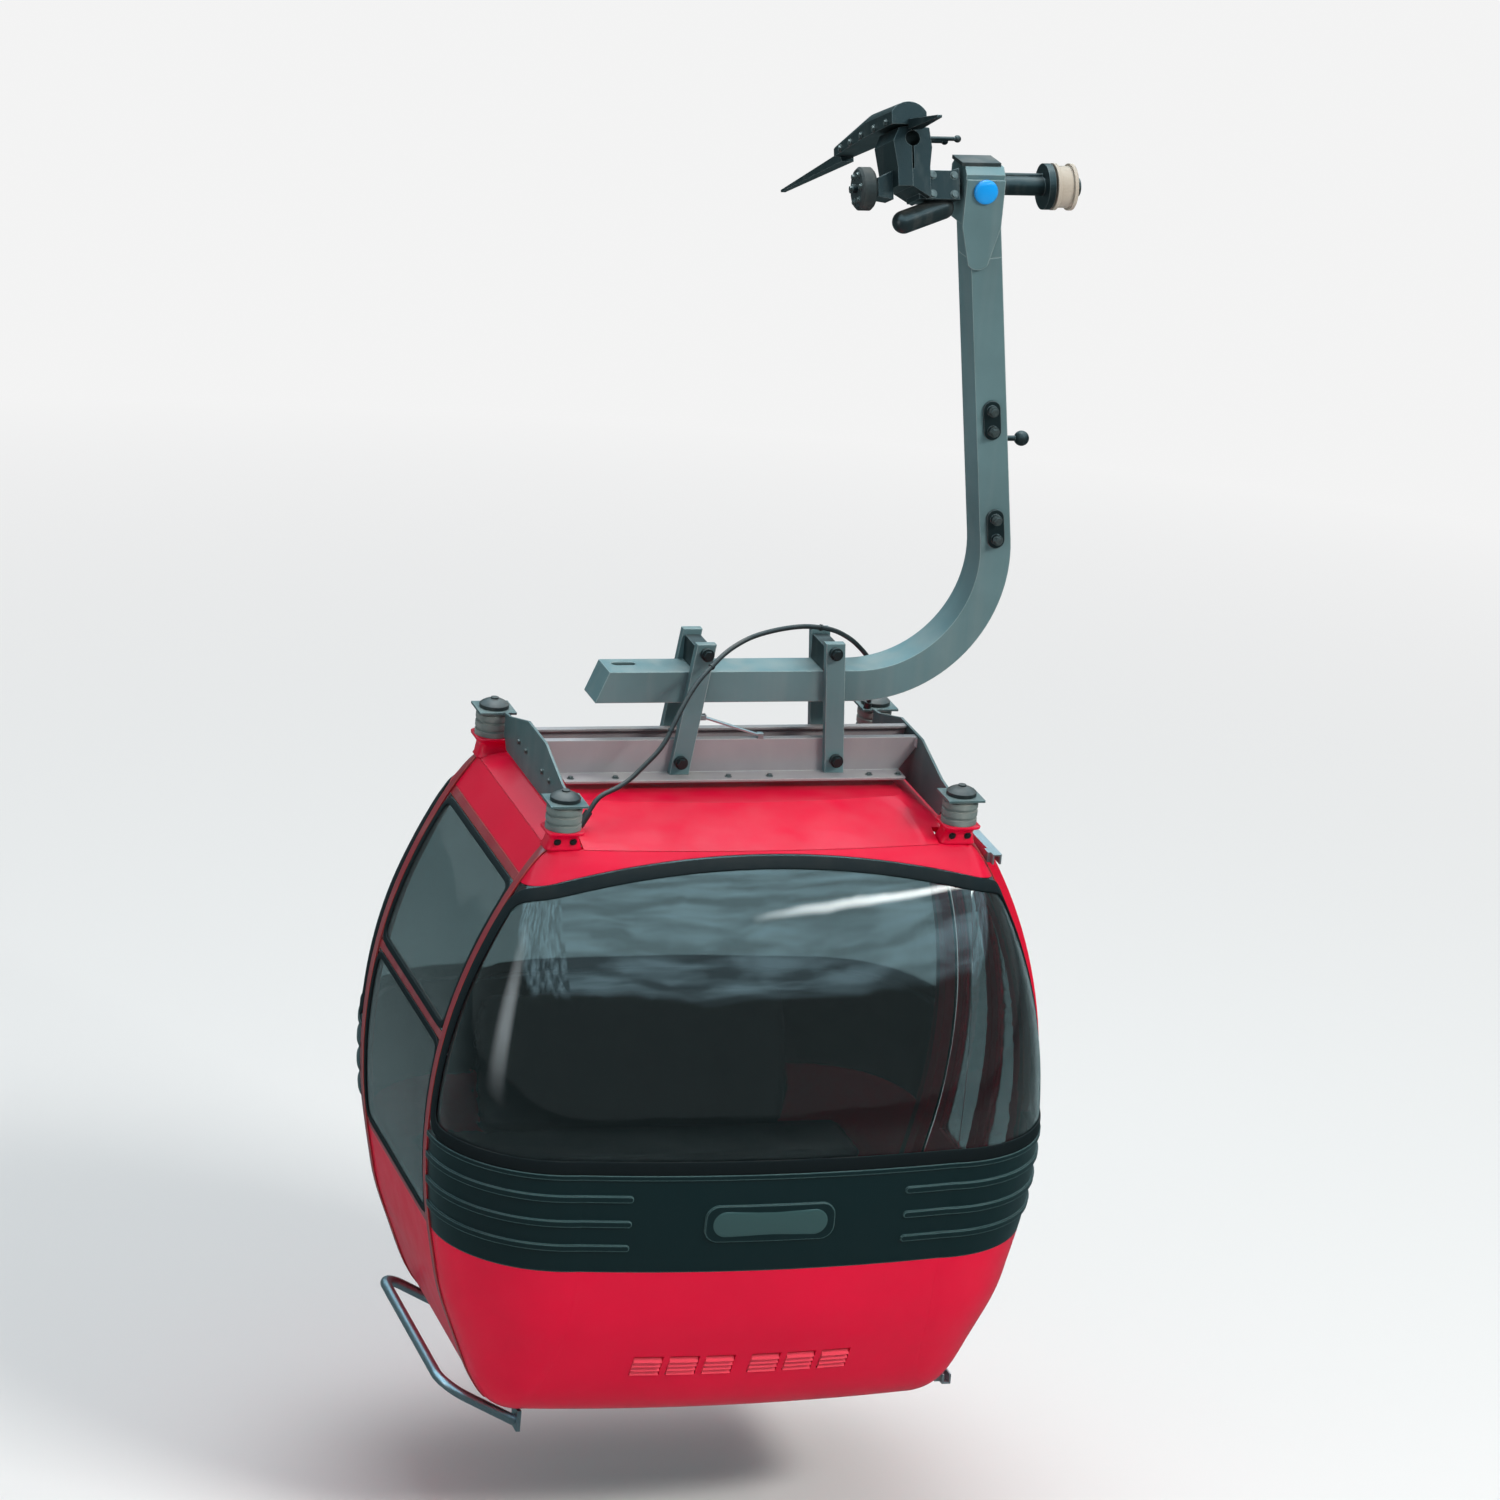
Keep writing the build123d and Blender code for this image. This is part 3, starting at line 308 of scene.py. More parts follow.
def newMaterial(name):
    material = bpy.data.materials.new(name)
    material.use_nodes = True
    material.node_tree.nodes.clear()
    made[name] = material
    return material.node_tree


def finishTree(tree, shader):
    addNode(tree, "ShaderNodeOutputMaterial", {"Surface": shader.outputs[0]})


def addBump(tree, height, strength, depth, normal):
    return addNode(tree, "ShaderNodeBump", {
        "Height": height, "Strength": strength, "Distance": depth, "Normal": normal})


def makePaint(name, spec):
    tree = newMaterial(name)
    dust, streaks, fade = spec["weather"]
    worn = placeGroup(tree, weather, {"Color": colour(spec["colour"]), "Dust": dust, "Streaks": streaks,
                                      "Fade": fade, "Roughness": spec["rough"]})
    edge = placeGroup(tree, edges, {"Radius": spec["edge"]})
    base = worn.outputs["Color"]
    # edges take a lighter colour: partly rubbed wear, partly a painted highlight
    if "edgeWearAndSheen" in spec:
        base = addMix(tree, edge.outputs["Wear And Sheen"], base, colour(spec["edgeWearAndSheen"]))
    bump = addBump(tree, worn.outputs["Height"], spec["bump"], paintSkin["depth"], edge.outputs["Normal"])
    finishTree(tree, addNode(tree, "ShaderNodeBsdfPrincipled", {
        "Base Color": base, "Roughness": worn.outputs["Roughness"], "Metallic": spec.get("metal", 0.0),
        "Coat Weight": spec.get("coat", 0.0), "Coat Roughness": paintSkin["coatRough"],
        "Specular IOR Level": spec.get("specular", 0.5), "Normal": bump.outputs[0]}))


def makeMetal(name, spec):
    tree = newMaterial(name)
    drawn = placeGroup(tree, grain, {
        "Color": colour(spec["colour"]), "Stretch": spec["stretch"], "Contrast": spec["contrast"],
        "Roughness": spec["rough"], "Scale": metalSkin["grain"]})
    edge = placeGroup(tree, edges, {"Radius": metalSkin["edge"]})
    bump = addBump(tree, drawn.outputs["Height"], metalSkin["bump"], metalSkin["depth"],
                   edge.outputs["Normal"])
    finishTree(tree, addNode(tree, "ShaderNodeBsdfPrincipled", {
        "Base Color": drawn.outputs["Color"], "Roughness": drawn.outputs["Roughness"],
        "Metallic": metalSkin["metal"], "Normal": bump.outputs[0]}))


smokedAcrylic = {"colour": (0.27, 0.34, 0.35), "bends": 1.49, "rough": 0.02,
                 "smear": 0.05, "smearScale": 3.5, "smearStretch": (1.0, 1.0, 0.4),
                 "wave": 0.35, "waveScale": 2.6, "waveDepth": 0.01}


def makeAcrylic(spec):      # blown acrylic: tinted, glossy and a little wavy
    tree = newMaterial("smokedAcrylic")
    place = addPlace(tree)
    smear = addNoise(tree, place, spec["smearScale"], 6.0, spec["smearStretch"])
    rough = addRange(tree, smear, 0.45, 0.8, (spec["rough"], spec["rough"] + spec["smear"]))
    wave = addNoise(tree, place, spec["waveScale"], 1.0)
    bump = addNode(tree, "ShaderNodeBump", {"Height": wave, "Strength": spec["wave"],
                                            "Distance": spec["waveDepth"]})
    finishTree(tree, addNode(tree, "ShaderNodeBsdfPrincipled", {
        "Base Color": colour(spec["colour"]), "Roughness": rough, "Metallic": 0.0, "IOR": spec["bends"],
        "Transmission Weight": 1.0, "Normal": bump.outputs[0]}))


for name, spec in finishes.items():
    makePaint(name, spec)
for name, spec in metals.items():
    makeMetal(name, spec)
makeAcrylic(smokedAcrylic)
print("finishes made:", len(made))

# Which finish each node of the cabin, hanger and grip has
nodeFinishes = {
    "bodyRed": ("skirt_front", "skirt_rear", "roof", "roof_edges", "side_panel", "door_frame", "leaf_front",
                "leaf_rear", "damper_ears"),
    "postDarkRedWithShade": ("posts_front", "posts_rear", "side_bars"),
    "bandBlack": ("band_front", "band_rear"),
    "smokedAcrylic": ("window_front", "window_rear", "side_window", "vent_pane", "leaf_glass_front",
                      "leaf_glass_rear"),
    "hangerGrey": ("hanger", "hanger_head", "head_shield", "link_straps"),
    "lidDark": ("head_lid",),
    "rodSteel": ("pull_rod",),
    "cableBlack": ("control_cable",),
    "glandBlack": ("cable_glands",),
    "frameGrey": ("frame_channels",),
    "plateTeal": ("frame_sides",),
    "gripSteel": ("grip_body", "grip_jaw", "jaw_lever", "grip_shaft", "grip_hump", "rope_tongues",
                  "release_rods", "arm_plates", "arm_stub", "link_pins"),
    "springBlack": ("spring_tube",),
    "rubber": ("dampers",),
    "discRubber": ("coupling_roller",),
    "capBlack": ("damper_caps",),
    "capBlue": ("blue_cap",),
    "rollerBeige": ("guide_roller",),
    "railAluminium": ("door_rails",),
    "guideSteel": ("guide_rail", "guide_feet"),
    "floorAluminium": ("floor", "under_pan"),
    "benchGrey": ("bench_seats", "bench_backs"),
    "benchAluminium": ("bench_legs",),
}


def paintNodes(table):
    for finish, names in table.items():
        for name in names:
            mesh = nodes[name].data
            mesh.materials.clear()
            mesh.materials.append(made[finish])


paintNodes(nodeFinishes)
bare = [name for name in nodes if not any(name in names for names in nodeFinishes.values())]
print("nodes painted, bare ones left:", bare)


# Places on the cabin's shell, in its own axes: X across, Z up from the sill
shell = {
    "postLine": 0.460, "bandTop": 0.950, "windowCorner": 1.790, "windowArch": 1.893, "archHalf": 0.786,
    "sidePanes": ((0.628, 1.236), (1.264, 1.773)), "sideHalf": 0.421,
    "leafGlass": (0.055, 0.322, 0.560, 1.700), "leafEdge": 0.003, "leafHeights": (0.03, 1.81),
    "frameLip": 0.3665, "lipHeights": (0.03, 1.79),
}


def onFrame(x, y, z):       # from the cabin's axes to the frame's
    return Vector((x, y, z)) + cabinOrigin


def treeOf(name):
    mesh = nodes[name].data
    faces = [face.vertices for face in mesh.polygons]
    return BVHTree.FromPolygons([vert.co for vert in mesh.vertices], faces)


farOut = 3.0        # where a ray towards the cabin starts, outside all of it


def castRound(tree, angle, z):      # towards the cabin's upright middle line
    out = Vector((math.cos(angle), math.sin(angle), 0))
    return tree.ray_cast(onFrame(0, 0, z) + out * farOut, -out)[0]


def castSide(tree, side, y, z):     # from one side, towards the middle plane
    return tree.ray_cast(onFrame(side * farOut, y, z), -side * sideways)[0]


def castEnd(tree, end, x, z):       # from one end, with the way out there
    return tree.ray_cast(onFrame(x, end * farOut, z), -end * lengthways)[:2]


def upLine(tree, side, y, low, high, steps):
    return [castSide(tree, side, y, low + (high - low) * i / steps) for i in range(steps + 1)]


def archHeight(x):
    rise = shell["windowArch"] - shell["windowCorner"]
    radius = (shell["archHalf"] ** 2 + rise ** 2) / (2 * rise)
    return shell["windowArch"] - radius + math.sqrt(max(radius ** 2 - x ** 2, 0))


def spread(points, step):       # the same closed line with its points an even step apart
    ends = points[1:] + points[:1]
    lengths = [(b - a).length for a, b in zip(points, ends)]
    count = max(4, round(sum(lengths) / step))
    spaced, i, gone = [], 0, 0.0
    for k in range(count):
        want = sum(lengths) * k / count
        while gone + lengths[i] < want:
            gone += lengths[i]
            i += 1
        spaced.append(points[i].lerp(ends[i], (want - gone) / lengths[i]))
    return spaced


def soften(values, passes):     # rounds the corners of a closed line, or evens out its directions
    for _ in range(passes):
        values = [(values[i - 1] + value * 2 + values[(i + 1) % len(values)]) / 4
                  for i, value in enumerate(values)]
    return values


laying = {"step": 0.02, "outside": 0.5, "nearby": 0.02, "evening": 6}
stepCounts = {"post": 24, "end": 60, "pane": 30, "paneTop": 8, "lip": 60, "corner": 6, "weldSide": 6,
              "weldUp": 4}      # along each kind of line or round corner


def layOn(tree, points, passes, side=0):    # a closed line laid on a surface, with its ways out
    hits = []
    for point in soften(spread(points, laying["step"]), passes):
        out = side * sideways if side else ((point - cabinOrigin) * Vector((1, 1, 0))).normalized()
        hit = tree.ray_cast(point + out * laying["outside"], -out)[:2]
        hits.append(hit if hit[0] else tree.find_nearest(point + out * laying["nearby"])[:2])
    ways = soften([hit[1] for hit in hits], laying["evening"])
    return [hit[0] for hit in hits], [way.normalized() for way in ways]


# Geometry node trees for what follows a line or repeats. Points carry the way out, and some a second way

def geometryTree(name, inputs):
    tree = bpy.data.node_groups.new(name, "GeometryNodeTree")
    tree.interface.new_socket("Geometry", in_out="INPUT", socket_type="NodeSocketGeometry")
    for label, value in inputs.items():
        kind = "NodeSocketInt" if isinstance(value, int) else "NodeSocketFloat"
        tree.interface.new_socket(label, in_out="INPUT", socket_type=kind).default_value = value
    tree.interface.new_socket("Finish", in_out="INPUT", socket_type="NodeSocketMaterial")
    tree.interface.new_socket("Geometry", in_out="OUTPUT", socket_type="NodeSocketGeometry")
    return tree, tree.nodes.new("NodeGroupInput").outputs


def closeTree(tree, given, geometry, smooth):
    real = addNode(tree, "GeometryNodeRealizeInstances", {0: geometry})
    shaded = addNode(tree, "GeometryNodeSetShadeSmooth", {0: real.outputs[0], "Shade Smooth": smooth})
    painted = addNode(tree, "GeometryNodeSetMaterial", {0: shaded.outputs[0], "Material": given["Finish"]})
    addNode(tree, "NodeGroupOutput", {0: painted.outputs[0]})
    return tree


def wayOut(tree, name="outward"):
    values = {"Name": name}
    return addNode(tree, "GeometryNodeInputNamedAttribute", values, data_type="FLOAT_VECTOR").outputs[0]


def moveShape(tree, shape, move, vector):
    return addNode(tree, "GeometryNodeTransform", {"Geometry": shape.outputs[0], move: vector})


def putOnPoints(tree, given, shape, turn):      # one shape on each point of the guide
    spots = addNode(tree, "GeometryNodeMeshToPoints", {"Mesh": given["Geometry"]})
    put = addNode(tree, "GeometryNodeInstanceOnPoints", {
        "Points": spots.outputs[0], "Instance": shape.outputs[0], "Rotation": turn.outputs[0]})
    return closeTree(tree, given, put.outputs[0], False)


def makeStripTree():        # a moulding with rounded shoulders that follows a line on a surface
    tree, given = geometryTree("strip", {"Width": 0.03, "Height": 0.006, "Sink": 0.001, "Shoulder": 0.003})
    curve = addNode(tree, "GeometryNodeMeshToCurve", {"Mesh": given["Geometry"]})
    values = {"Curve": curve.outputs[0], "Normal": wayOut(tree)}
    stood = addNode(tree, "GeometryNodeSetCurveNormal", values, mode="FREE")
    section = addNode(tree, "GeometryNodeCurvePrimitiveQuadrilateral", {
        "Width": given["Height"], "Height": given["Width"]})
    values = {"Curve": section.outputs[0], "Count": 3, "Radius": given["Shoulder"], "Limit Radius": True}
    rounded = addNode(tree, "GeometryNodeFilletCurve", values, mode="POLY")
    lift = addMath(tree, "SUBTRACT", addMath(tree, "MULTIPLY", given["Height"], 0.5), given["Sink"])
    placed = moveShape(tree, rounded, "Translation", addVector(tree, {0: lift}))
    swept = addNode(tree, "GeometryNodeCurveToMesh", {
        "Curve": stood.outputs[0], "Profile Curve": placed.outputs[0], "Fill Caps": True})
    return closeTree(tree, given, swept.outputs[0], True)


def makeBoltTree():         # hexagon heads, or round ones with more sides, on washers
    tree, given = geometryTree("bolts", {"Sides": 6, "Radius": 0.012, "Height": 0.008,
                                         "Washer Radius": 0.018, "Washer Height": 0.002})
    low = addMath(tree, "MULTIPLY", given["Washer Height"], 0.5)
    high = addMath(tree, "ADD", given["Washer Height"], addMath(tree, "MULTIPLY", given["Height"], 0.5))
    both = addNode(tree, "GeometryNodeJoinGeometry")
    for sides, radius, depth, rise in ((24, given["Washer Radius"], given["Washer Height"], low),
                                       (given["Sides"], given["Radius"], given["Height"], high)):
        values = {"Vertices": sides, "Radius": radius, "Depth": depth}
        turned = addNode(tree, "GeometryNodeMeshCylinder", values)
        part = moveShape(tree, turned, "Translation", addVector(tree, {2: rise}))
        tree.links.new(part.outputs[0], both.inputs[0])
    aim = addNode(tree, "FunctionNodeAlignRotationToVector", {"Vector": wayOut(tree)}, axis="Z")
    return putOnPoints(tree, given, both, aim)


def makeSlatTree():         # plates across, each tilted about its length
    tree, given = geometryTree("slats", {"Length": 0.09, "Depth": 0.02, "Thickness": 0.003, "Tilt": 0.6})
    size = addVector(tree, {0: given["Length"], 1: given["Thickness"], 2: given["Depth"]})
    plate = addNode(tree, "GeometryNodeMeshCube", {"Size": size})
    tilted = moveShape(tree, plate, "Rotation", addVector(tree, {0: given["Tilt"]}))
    ways = {"Primary Axis": wayOut(tree), "Secondary Axis": wayOut(tree, "sideward")}
    aim = addNode(tree, "FunctionNodeAxesToRotation", ways, primary_axis="Z", secondary_axis="X")
    return putOnPoints(tree, given, tilted, aim)


stripTree = makeStripTree()
boltTree = makeBoltTree()
slatTree = makeSlatTree()


def guideMesh(name, lines, outward, sideward=None, closed=False):     # a loose point is a line of one
    mesh = bpy.data.meshes.new(name)
    bounds, start = [], 0
    for line in lines:
        bounds += [(start + i, start + i + 1) for i in range(len(line) - 1)]
        if closed:
            bounds.append((start + len(line) - 1, start))
        start += len(line)
    mesh.from_pydata([point for line in lines for point in line], bounds, [])
    for label, ways in (("outward", outward), ("sideward", sideward)):
        if ways:
            numbers = [number for line in ways for way in line for number in way]
            mesh.attributes.new(label, "FLOAT_VECTOR", "POINT").data.foreach_set("vector", numbers)
    return mesh


def standPiece(name, data, body):
    piece = addObject(name, data)
    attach(piece, body)
    return piece


def growPiece(name, tree, mesh, sizes, finish, body):     # runs a tree on its guide, for a plain mesh
    guide = addObject(name + "Guide", mesh)
    modifier = guide.modifiers.new("grow", "NODES")
    modifier.node_group = tree
    values = dict(sizes, Finish=made[finish])
    for item in tree.interface.items_tree:
        if item.in_out == "INPUT" and item.name in values:
            modifier[item.identifier] = values[item.name]
    grown = bpy.data.meshes.new_from_object(guide.evaluated_get(bpy.context.evaluated_depsgraph_get()))
    guide.modifiers.remove(modifier)
    bpy.data.objects.remove(guide)
    grown.name = name
    standPiece(name, grown, body)


def addStrips(name, lines, outward, sizes, finish, body, closed=True):
    growPiece(name, stripTree, guideMesh(name, lines, outward, closed=closed), sizes, finish, body)


def addBolts(name, places, sizes, finish, body):      # places are pairs of a point and its way out
    mesh = guideMesh(name, [[place[0]] for place in places], [[Vector(place[1])] for place in places])
    growPiece(name, boltTree, mesh, sizes, finish, body)


def joinRings(mesh, rings, ends):       # faces from ring to ring and over the named ends, turned outwards
    for a, b in zip(rings, rings[1:]):
        for i in range(len(a)):
            j = (i + 1) % len(a)
            mesh.faces.new((a[i], a[j], b[j], b[i]))
    for k in ends:
        mesh.faces.new(rings[k])
    bmesh.ops.recalc_face_normals(mesh, faces=mesh.faces)


def keepPiece(name, mesh, finish, body):
    data = bpy.data.meshes.new(name)
    mesh.to_mesh(data)
    mesh.free()
    data.materials.append(made[finish])
    for face in data.polygons:
        face.use_smooth = True
    return standPiece(name, data, body)


# Rubber round the windows and panes. inset is from the pane's edge, and corner is how often it is softened

gasket = {"Width": 0.046, "Height": 0.007, "Sink": 0.002, "Shoulder": 0.0035,
          "inset": 0.022, "corner": 14, "cornerDrop": 1.2}
slimGasket = {"Width": 0.024, "Height": 0.006, "Sink": 0.002, "Shoulder": 0.003,
              "inset": 0.011, "corner": 6}
leafGasket = {"Width": 0.018, "Height": 0.006, "Sink": 0.001, "Shoulder": 0.003,
              "inset": -0.008, "corner": 4}
leafLip = {"Width": 0.012, "Height": 0.0022, "Sink": 0.0, "Shoulder": 0.001,
           "proud": 0.002, "setBack": 0.012}
frameLip = {"Width": 0.010, "Height": 0.0115, "Sink": 0.001, "Shoulder": 0.003}


def addRubber(name, lines, outward, spec, body="cabin", closed=True):
    sizes = {key: spec[key] for key in ("Width", "Height", "Sink", "Shoulder")}
    addStrips(name, lines, outward, sizes, "sealRubber", body, closed)


def endWindowLine(tree, end, spec):
    inset = spec["inset"]
    low, high = shell["bandTop"] + inset, shell["windowCorner"] - inset * spec["cornerDrop"]
    side = upLine(tree, 1, end * (shell["postLine"] + inset), low, high, stepCounts["post"])

    def sweepRound(start, height):      # from one side round the end, under the arch or along the band
        first = math.atan2(start.y - cabinOrigin.y, start.x - cabinOrigin.x)
        line = []
        for i in range(1, stepCounts["end"]):
            angle = first + (end * math.pi - 2 * first) * i / stepCounts["end"]
            z = shell["windowCorner"] - inset
            for _ in range(4):
                hit = castRound(tree, angle, height(z))
                z = archHeight(hit.x - cabinOrigin.x) - inset
            line.append(hit)
        return line

    def across(point):
        return Vector((2 * cabinOrigin.x - point.x, point.y, point.z))

    over = sweepRound(side[-1], lambda z: z)
    under = sweepRound(side[0], lambda z: low)
    return side + over + [across(point) for point in reversed(side)] + under[::-1]


def addEndGaskets(spec):
    for name, end in cabinEnds:
        tree = treeOf("window_" + name)
        line, outward = layOn(tree, endWindowLine(tree, end, spec), spec["corner"])
        addRubber(name + "WindowRubber", [line], [outward], spec)


def paneLine(tree, side, yLow, yHigh, zLow, zHigh):
    up, down = (upLine(tree, side, y, zLow, zHigh, stepCounts["pane"]) for y in (yHigh, yLow))
    shares = [i / stepCounts["paneTop"] for i in range(1, stepCounts["paneTop"])]
    over = [castSide(tree, side, yHigh + (yLow - yHigh) * share, zHigh) for share in shares]
    under = [castSide(tree, side, yLow + (yHigh - yLow) * share, zLow) for share in shares]
    return up + over + down[::-1] + under


def addSideGaskets(spec):
    lines, ways = [], []
    half, inset = shell["sideHalf"] - spec["inset"], spec["inset"]
    for name, (low, high) in zip(("side_window", "vent_pane"), shell["sidePanes"]):
        tree = treeOf(name)
        edge = paneLine(tree, -1, -half, half, low + inset, high - inset)
        line, outward = layOn(tree, edge, spec["corner"], -1)
        lines.append(line)
        ways.append(outward)
    addRubber("sideWindowRubber", lines, ways, spec)


def addLeafGaskets(spec):
    yLow, yHigh, zLow, zHigh = shell["leafGlass"]
    inset = spec["inset"]
    for name, end in cabinEnds:
        tree = treeOf("leaf_" + name)
        edge = paneLine(tree, 1, end * (yLow + inset), end * (yHigh - inset), zLow + inset, zHigh - inset)
        line, outward = layOn(tree, edge, spec["corner"], 1)
        addRubber(name + "LeafRubber", [line], [outward], spec, "door_" + name)


def addLeafLips(spec):      # soft lips where the two leaves meet
    for name, end in cabinEnds:
        edge = upLine(treeOf("leaf_" + name), 1, end * (shell["leafEdge"] + spec["proud"]),
                      *shell["leafHeights"], stepCounts["lip"])
        line = [point - Vector((spec["setBack"], spec["proud"] * end, 0)) for point in edge]
        ways = [-end * lengthways] * len(line)
        addRubber(name + "LeafLip", [line], [ways], spec, "door_" + name, closed=False)


def addFrameSeals(spec):    # rubber lips on the door frame, which the leaves close on
    tree = treeOf("door_frame")
    lines = [upLine(tree, 1, end * shell["frameLip"], *shell["lipHeights"], stepCounts["lip"])
             for end in (-1, 1)]
    ways = [[sideways] * len(line) for line in lines]
    addRubber("frameSeals", lines, ways, spec, closed=False)


addEndGaskets(gasket)
addSideGaskets(slimGasket)
addLeafGaskets(leafGasket)
addLeafLips(leafLip)
addFrameSeals(frameLip)
print("window rubbers made")

# Cast brackets under the roof dampers: share of the height, and how far the section stands out there
bracket = {"section": ((0.0, 0.0), (0.08, -0.004), (0.55, -0.013), (0.80, -0.011), (0.84, -0.002),
                       (0.86, 0.0), (0.97, 0.0), (1.0, -0.003)),
           "corner": 0.024, "boltStep": 0.026, "boltHeight": 0.45, "level": 0.002}


def roundSquare(low, high, radius):     # points round a level rectangle with round corners
    left, right, near, back = low.x + radius, high.x - radius, low.y + radius, high.y - radius
    points = []
    for k, (x, y) in enumerate(((right, back), (left, back), (left, near), (right, near))):
        for i in range(stepCounts["corner"] + 1):
            turn = math.pi / 2 * (k + i / stepCounts["corner"])
            points.append((x + math.cos(turn) * radius, y + math.sin(turn) * radius))
    return points


def addBrackets(spec):
    corners = [vert.co.copy() for vert in nodes["damper_ears"].data.vertices]
    foot, head = min(point.z for point in corners), max(point.z for point in corners)
    mesh = bmesh.new()
    starts = []
    for across, end in ((-1, -1), (-1, 1), (1, -1), (1, 1)):
        own = [point for point in corners if (point.x - cabinOrigin.x) * across > 0
               and (point.y - cabinOrigin.y) * end > 0]
        sections = []
        for z in (foot, head):
            level = [point for point in own if abs(point.z - z) < spec["level"]]
            sections.append([Vector([pick(point[k] for point in level) for k in (0, 1)] + [z])
                             for pick in (min, max)])
        rings = []
        for share, out in spec["section"]:
            low, high = [sections[0][k].lerp(sections[1][k], share) for k in (0, 1)]
            grow = Vector((out, out, 0))
            rings.append([mesh.verts.new((x, y, low.z))
                          for x, y in roundSquare(low - grow, high + grow, spec["corner"])])
        joinRings(mesh, rings, (0, -1))
        middle = (min(point.x for point in own) + max(point.x for point in own)) / 2
        for step in (-spec["boltStep"], spec["boltStep"]):
            starts.append((Vector((middle + step, cabinOrigin.y + end * farOut,
                                   foot + (head - foot) * spec["boltHeight"])), -end * lengthways))
    surface = BVHTree.FromBMesh(mesh)
    places = [surface.ray_cast(*start)[:2] for start in starts]
    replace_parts(keepPiece("damperBrackets", mesh, "bodyRed", "cabin"), "damper_ears")
    addBolts("bracketBolts", places, smallNut, "boltDark", "cabin")


# Slats in the vents of the skirts, in a lighter red than the body: painted light on their upward faces
vents = {"firstX": 0.077, "pitch": 0.120, "count": 3, "rows": (0.193, 0.212, 0.231, 0.250),
         "fromFloor": 0.009, "slat": {"Length": 0.094, "Depth": 0.018, "Thickness": 0.003, "Tilt": 0.7}}


def addVentSlats(spec):
    for name, end in cabinEnds:
        tree = treeOf("skirt_" + name)
        spots, ways, sides = [], [], []
        for i in range(spec["count"]):
            for x in (spec["firstX"] + i * spec["pitch"], -spec["firstX"] - i * spec["pitch"]):
                for z in spec["rows"]:
                    hit, normal = castEnd(tree, end, x, z)
                    spots.append([hit + normal * spec["fromFloor"]])
                    ways.append([normal])
                    sides.append([upwards.cross(normal)])
        mesh = guideMesh(name + "VentSlats", spots, ways, sides)
        growPiece(name + "VentSlats", slatTree, mesh, spec["slat"], "ventLitRed", "cabin")


addVentSlats(vents)
print("vents made")

# Bolts and nuts. Places are in the cabin's axes
hanger = {"armTop": (0.7732, 3.200), "armLow": (0.8245, 2.835), "lean": math.radians(8), "boltPitch": 0.034,
          "boltFace": -0.092}
roofFrame = {"linkTops": (-0.124, 0.311), "linkFeet": (-0.180, 0.347), "topZ": 2.422, "footZ": 2.056,
             "boltFace": 0.1123, "lipX": (-0.55, -0.40, -0.02, 0.12, 0.46, 0.56), "lipY": 0.118,
             "lipZ": 2.011, "plateX": 0.640, "plateY": (-0.19, -0.10, 0.10, 0.19), "plateZ": 2.03}


def nutSizes(radius, height, washer, washerHeight, sides=6):
    return {"Sides": sides, "Radius": radius, "Height": height, "Washer Radius": washer,
            "Washer Height": washerHeight}


nut = nutSizes(0.0165, 0.012, 0.0215, 0.003)
armNut = nutSizes(0.013, 0.012, 0.0175, 0.003)
smallNut = nutSizes(0.0085, 0.006, 0.012, 0.0015)
gripNut = nutSizes(0.010, 0.006, 0.014, 0.0015)


def addFrameBolts(spec):
    big = []
    for xs, z in ((spec["linkTops"], spec["topZ"]), (spec["linkFeet"], spec["footZ"])):
        for x in xs:
            for side in (-1, 1):
                big.append((onFrame(x, side * spec["boltFace"], z), side * lengthways))
    addBolts("linkNuts", big, nut, "boltDark", "cabin")
    small = [(onFrame(x, side * spec["lipY"], spec["lipZ"]), upwards)
             for x in spec["lipX"] for side in (-1, 1)]
    small += [(onFrame(side * spec["plateX"], y, spec["plateZ"]), side * sideways)
              for side in (-1, 1) for y in spec["plateY"]]
    addBolts("frameNuts", small, smallNut, "boltZinc", "cabin")


def addArmBolts(spec):
    way = Vector((-math.sin(spec["lean"]), 0, math.cos(spec["lean"])))
    places = []
    for x, z in (spec["armTop"], spec["armLow"]):
        for step in (-spec["boltPitch"], spec["boltPitch"]):
            places.append((onFrame(x, spec["boltFace"], z) + way * step, -lengthways))
    addBolts("armNuts", places, armNut, "boltZinc", "cabin")


addFrameBolts(roofFrame)
addArmBolts(hanger)
addBrackets(bracket)
print("bolts made")

# Blank plate on the raised field of each band, in rings from its middle to its rim
bandPlate = {"height": 0.784, "half": (0.192, 0.044), "rise": 0.0035, "sink": 0.0005, "around": 64,
             "rings": (0.02, 0.5, 0.8, 0.93, 0.985, 1.0)}


def pillPoint(half, turn, share):       # on an outline with round ends, drawn in by the share
    x, z = math.cos(turn), math.sin(turn)
    return (math.copysign(half[0] - half[1], x) + x * half[1]) * share, z * half[1] * share


def addBandPlates(spec):
    for name, end in cabinEnds:
        tree = treeOf("band_" + name)
        mesh = bmesh.new()
        rings = []
        for share in spec["rings"]:
            lift = spec["rise"] * math.sqrt(1 - share ** 6) - spec["sink"]
            ring = []
            for i in range(spec["around"]):
                x, z = pillPoint(spec["half"], (i + 0.5) * 2 * math.pi / spec["around"], share)
                hit, normal = castEnd(tree, end, x, spec["height"] + z)
                ring.append(mesh.verts.new(hit + normal * lift))
            rings.append(ring)
        joinRings(mesh, rings, (0,))
        keepPiece(name + "BandPlate", mesh, "plateBlank", "cabin")


addBandPlates(bandPlate)

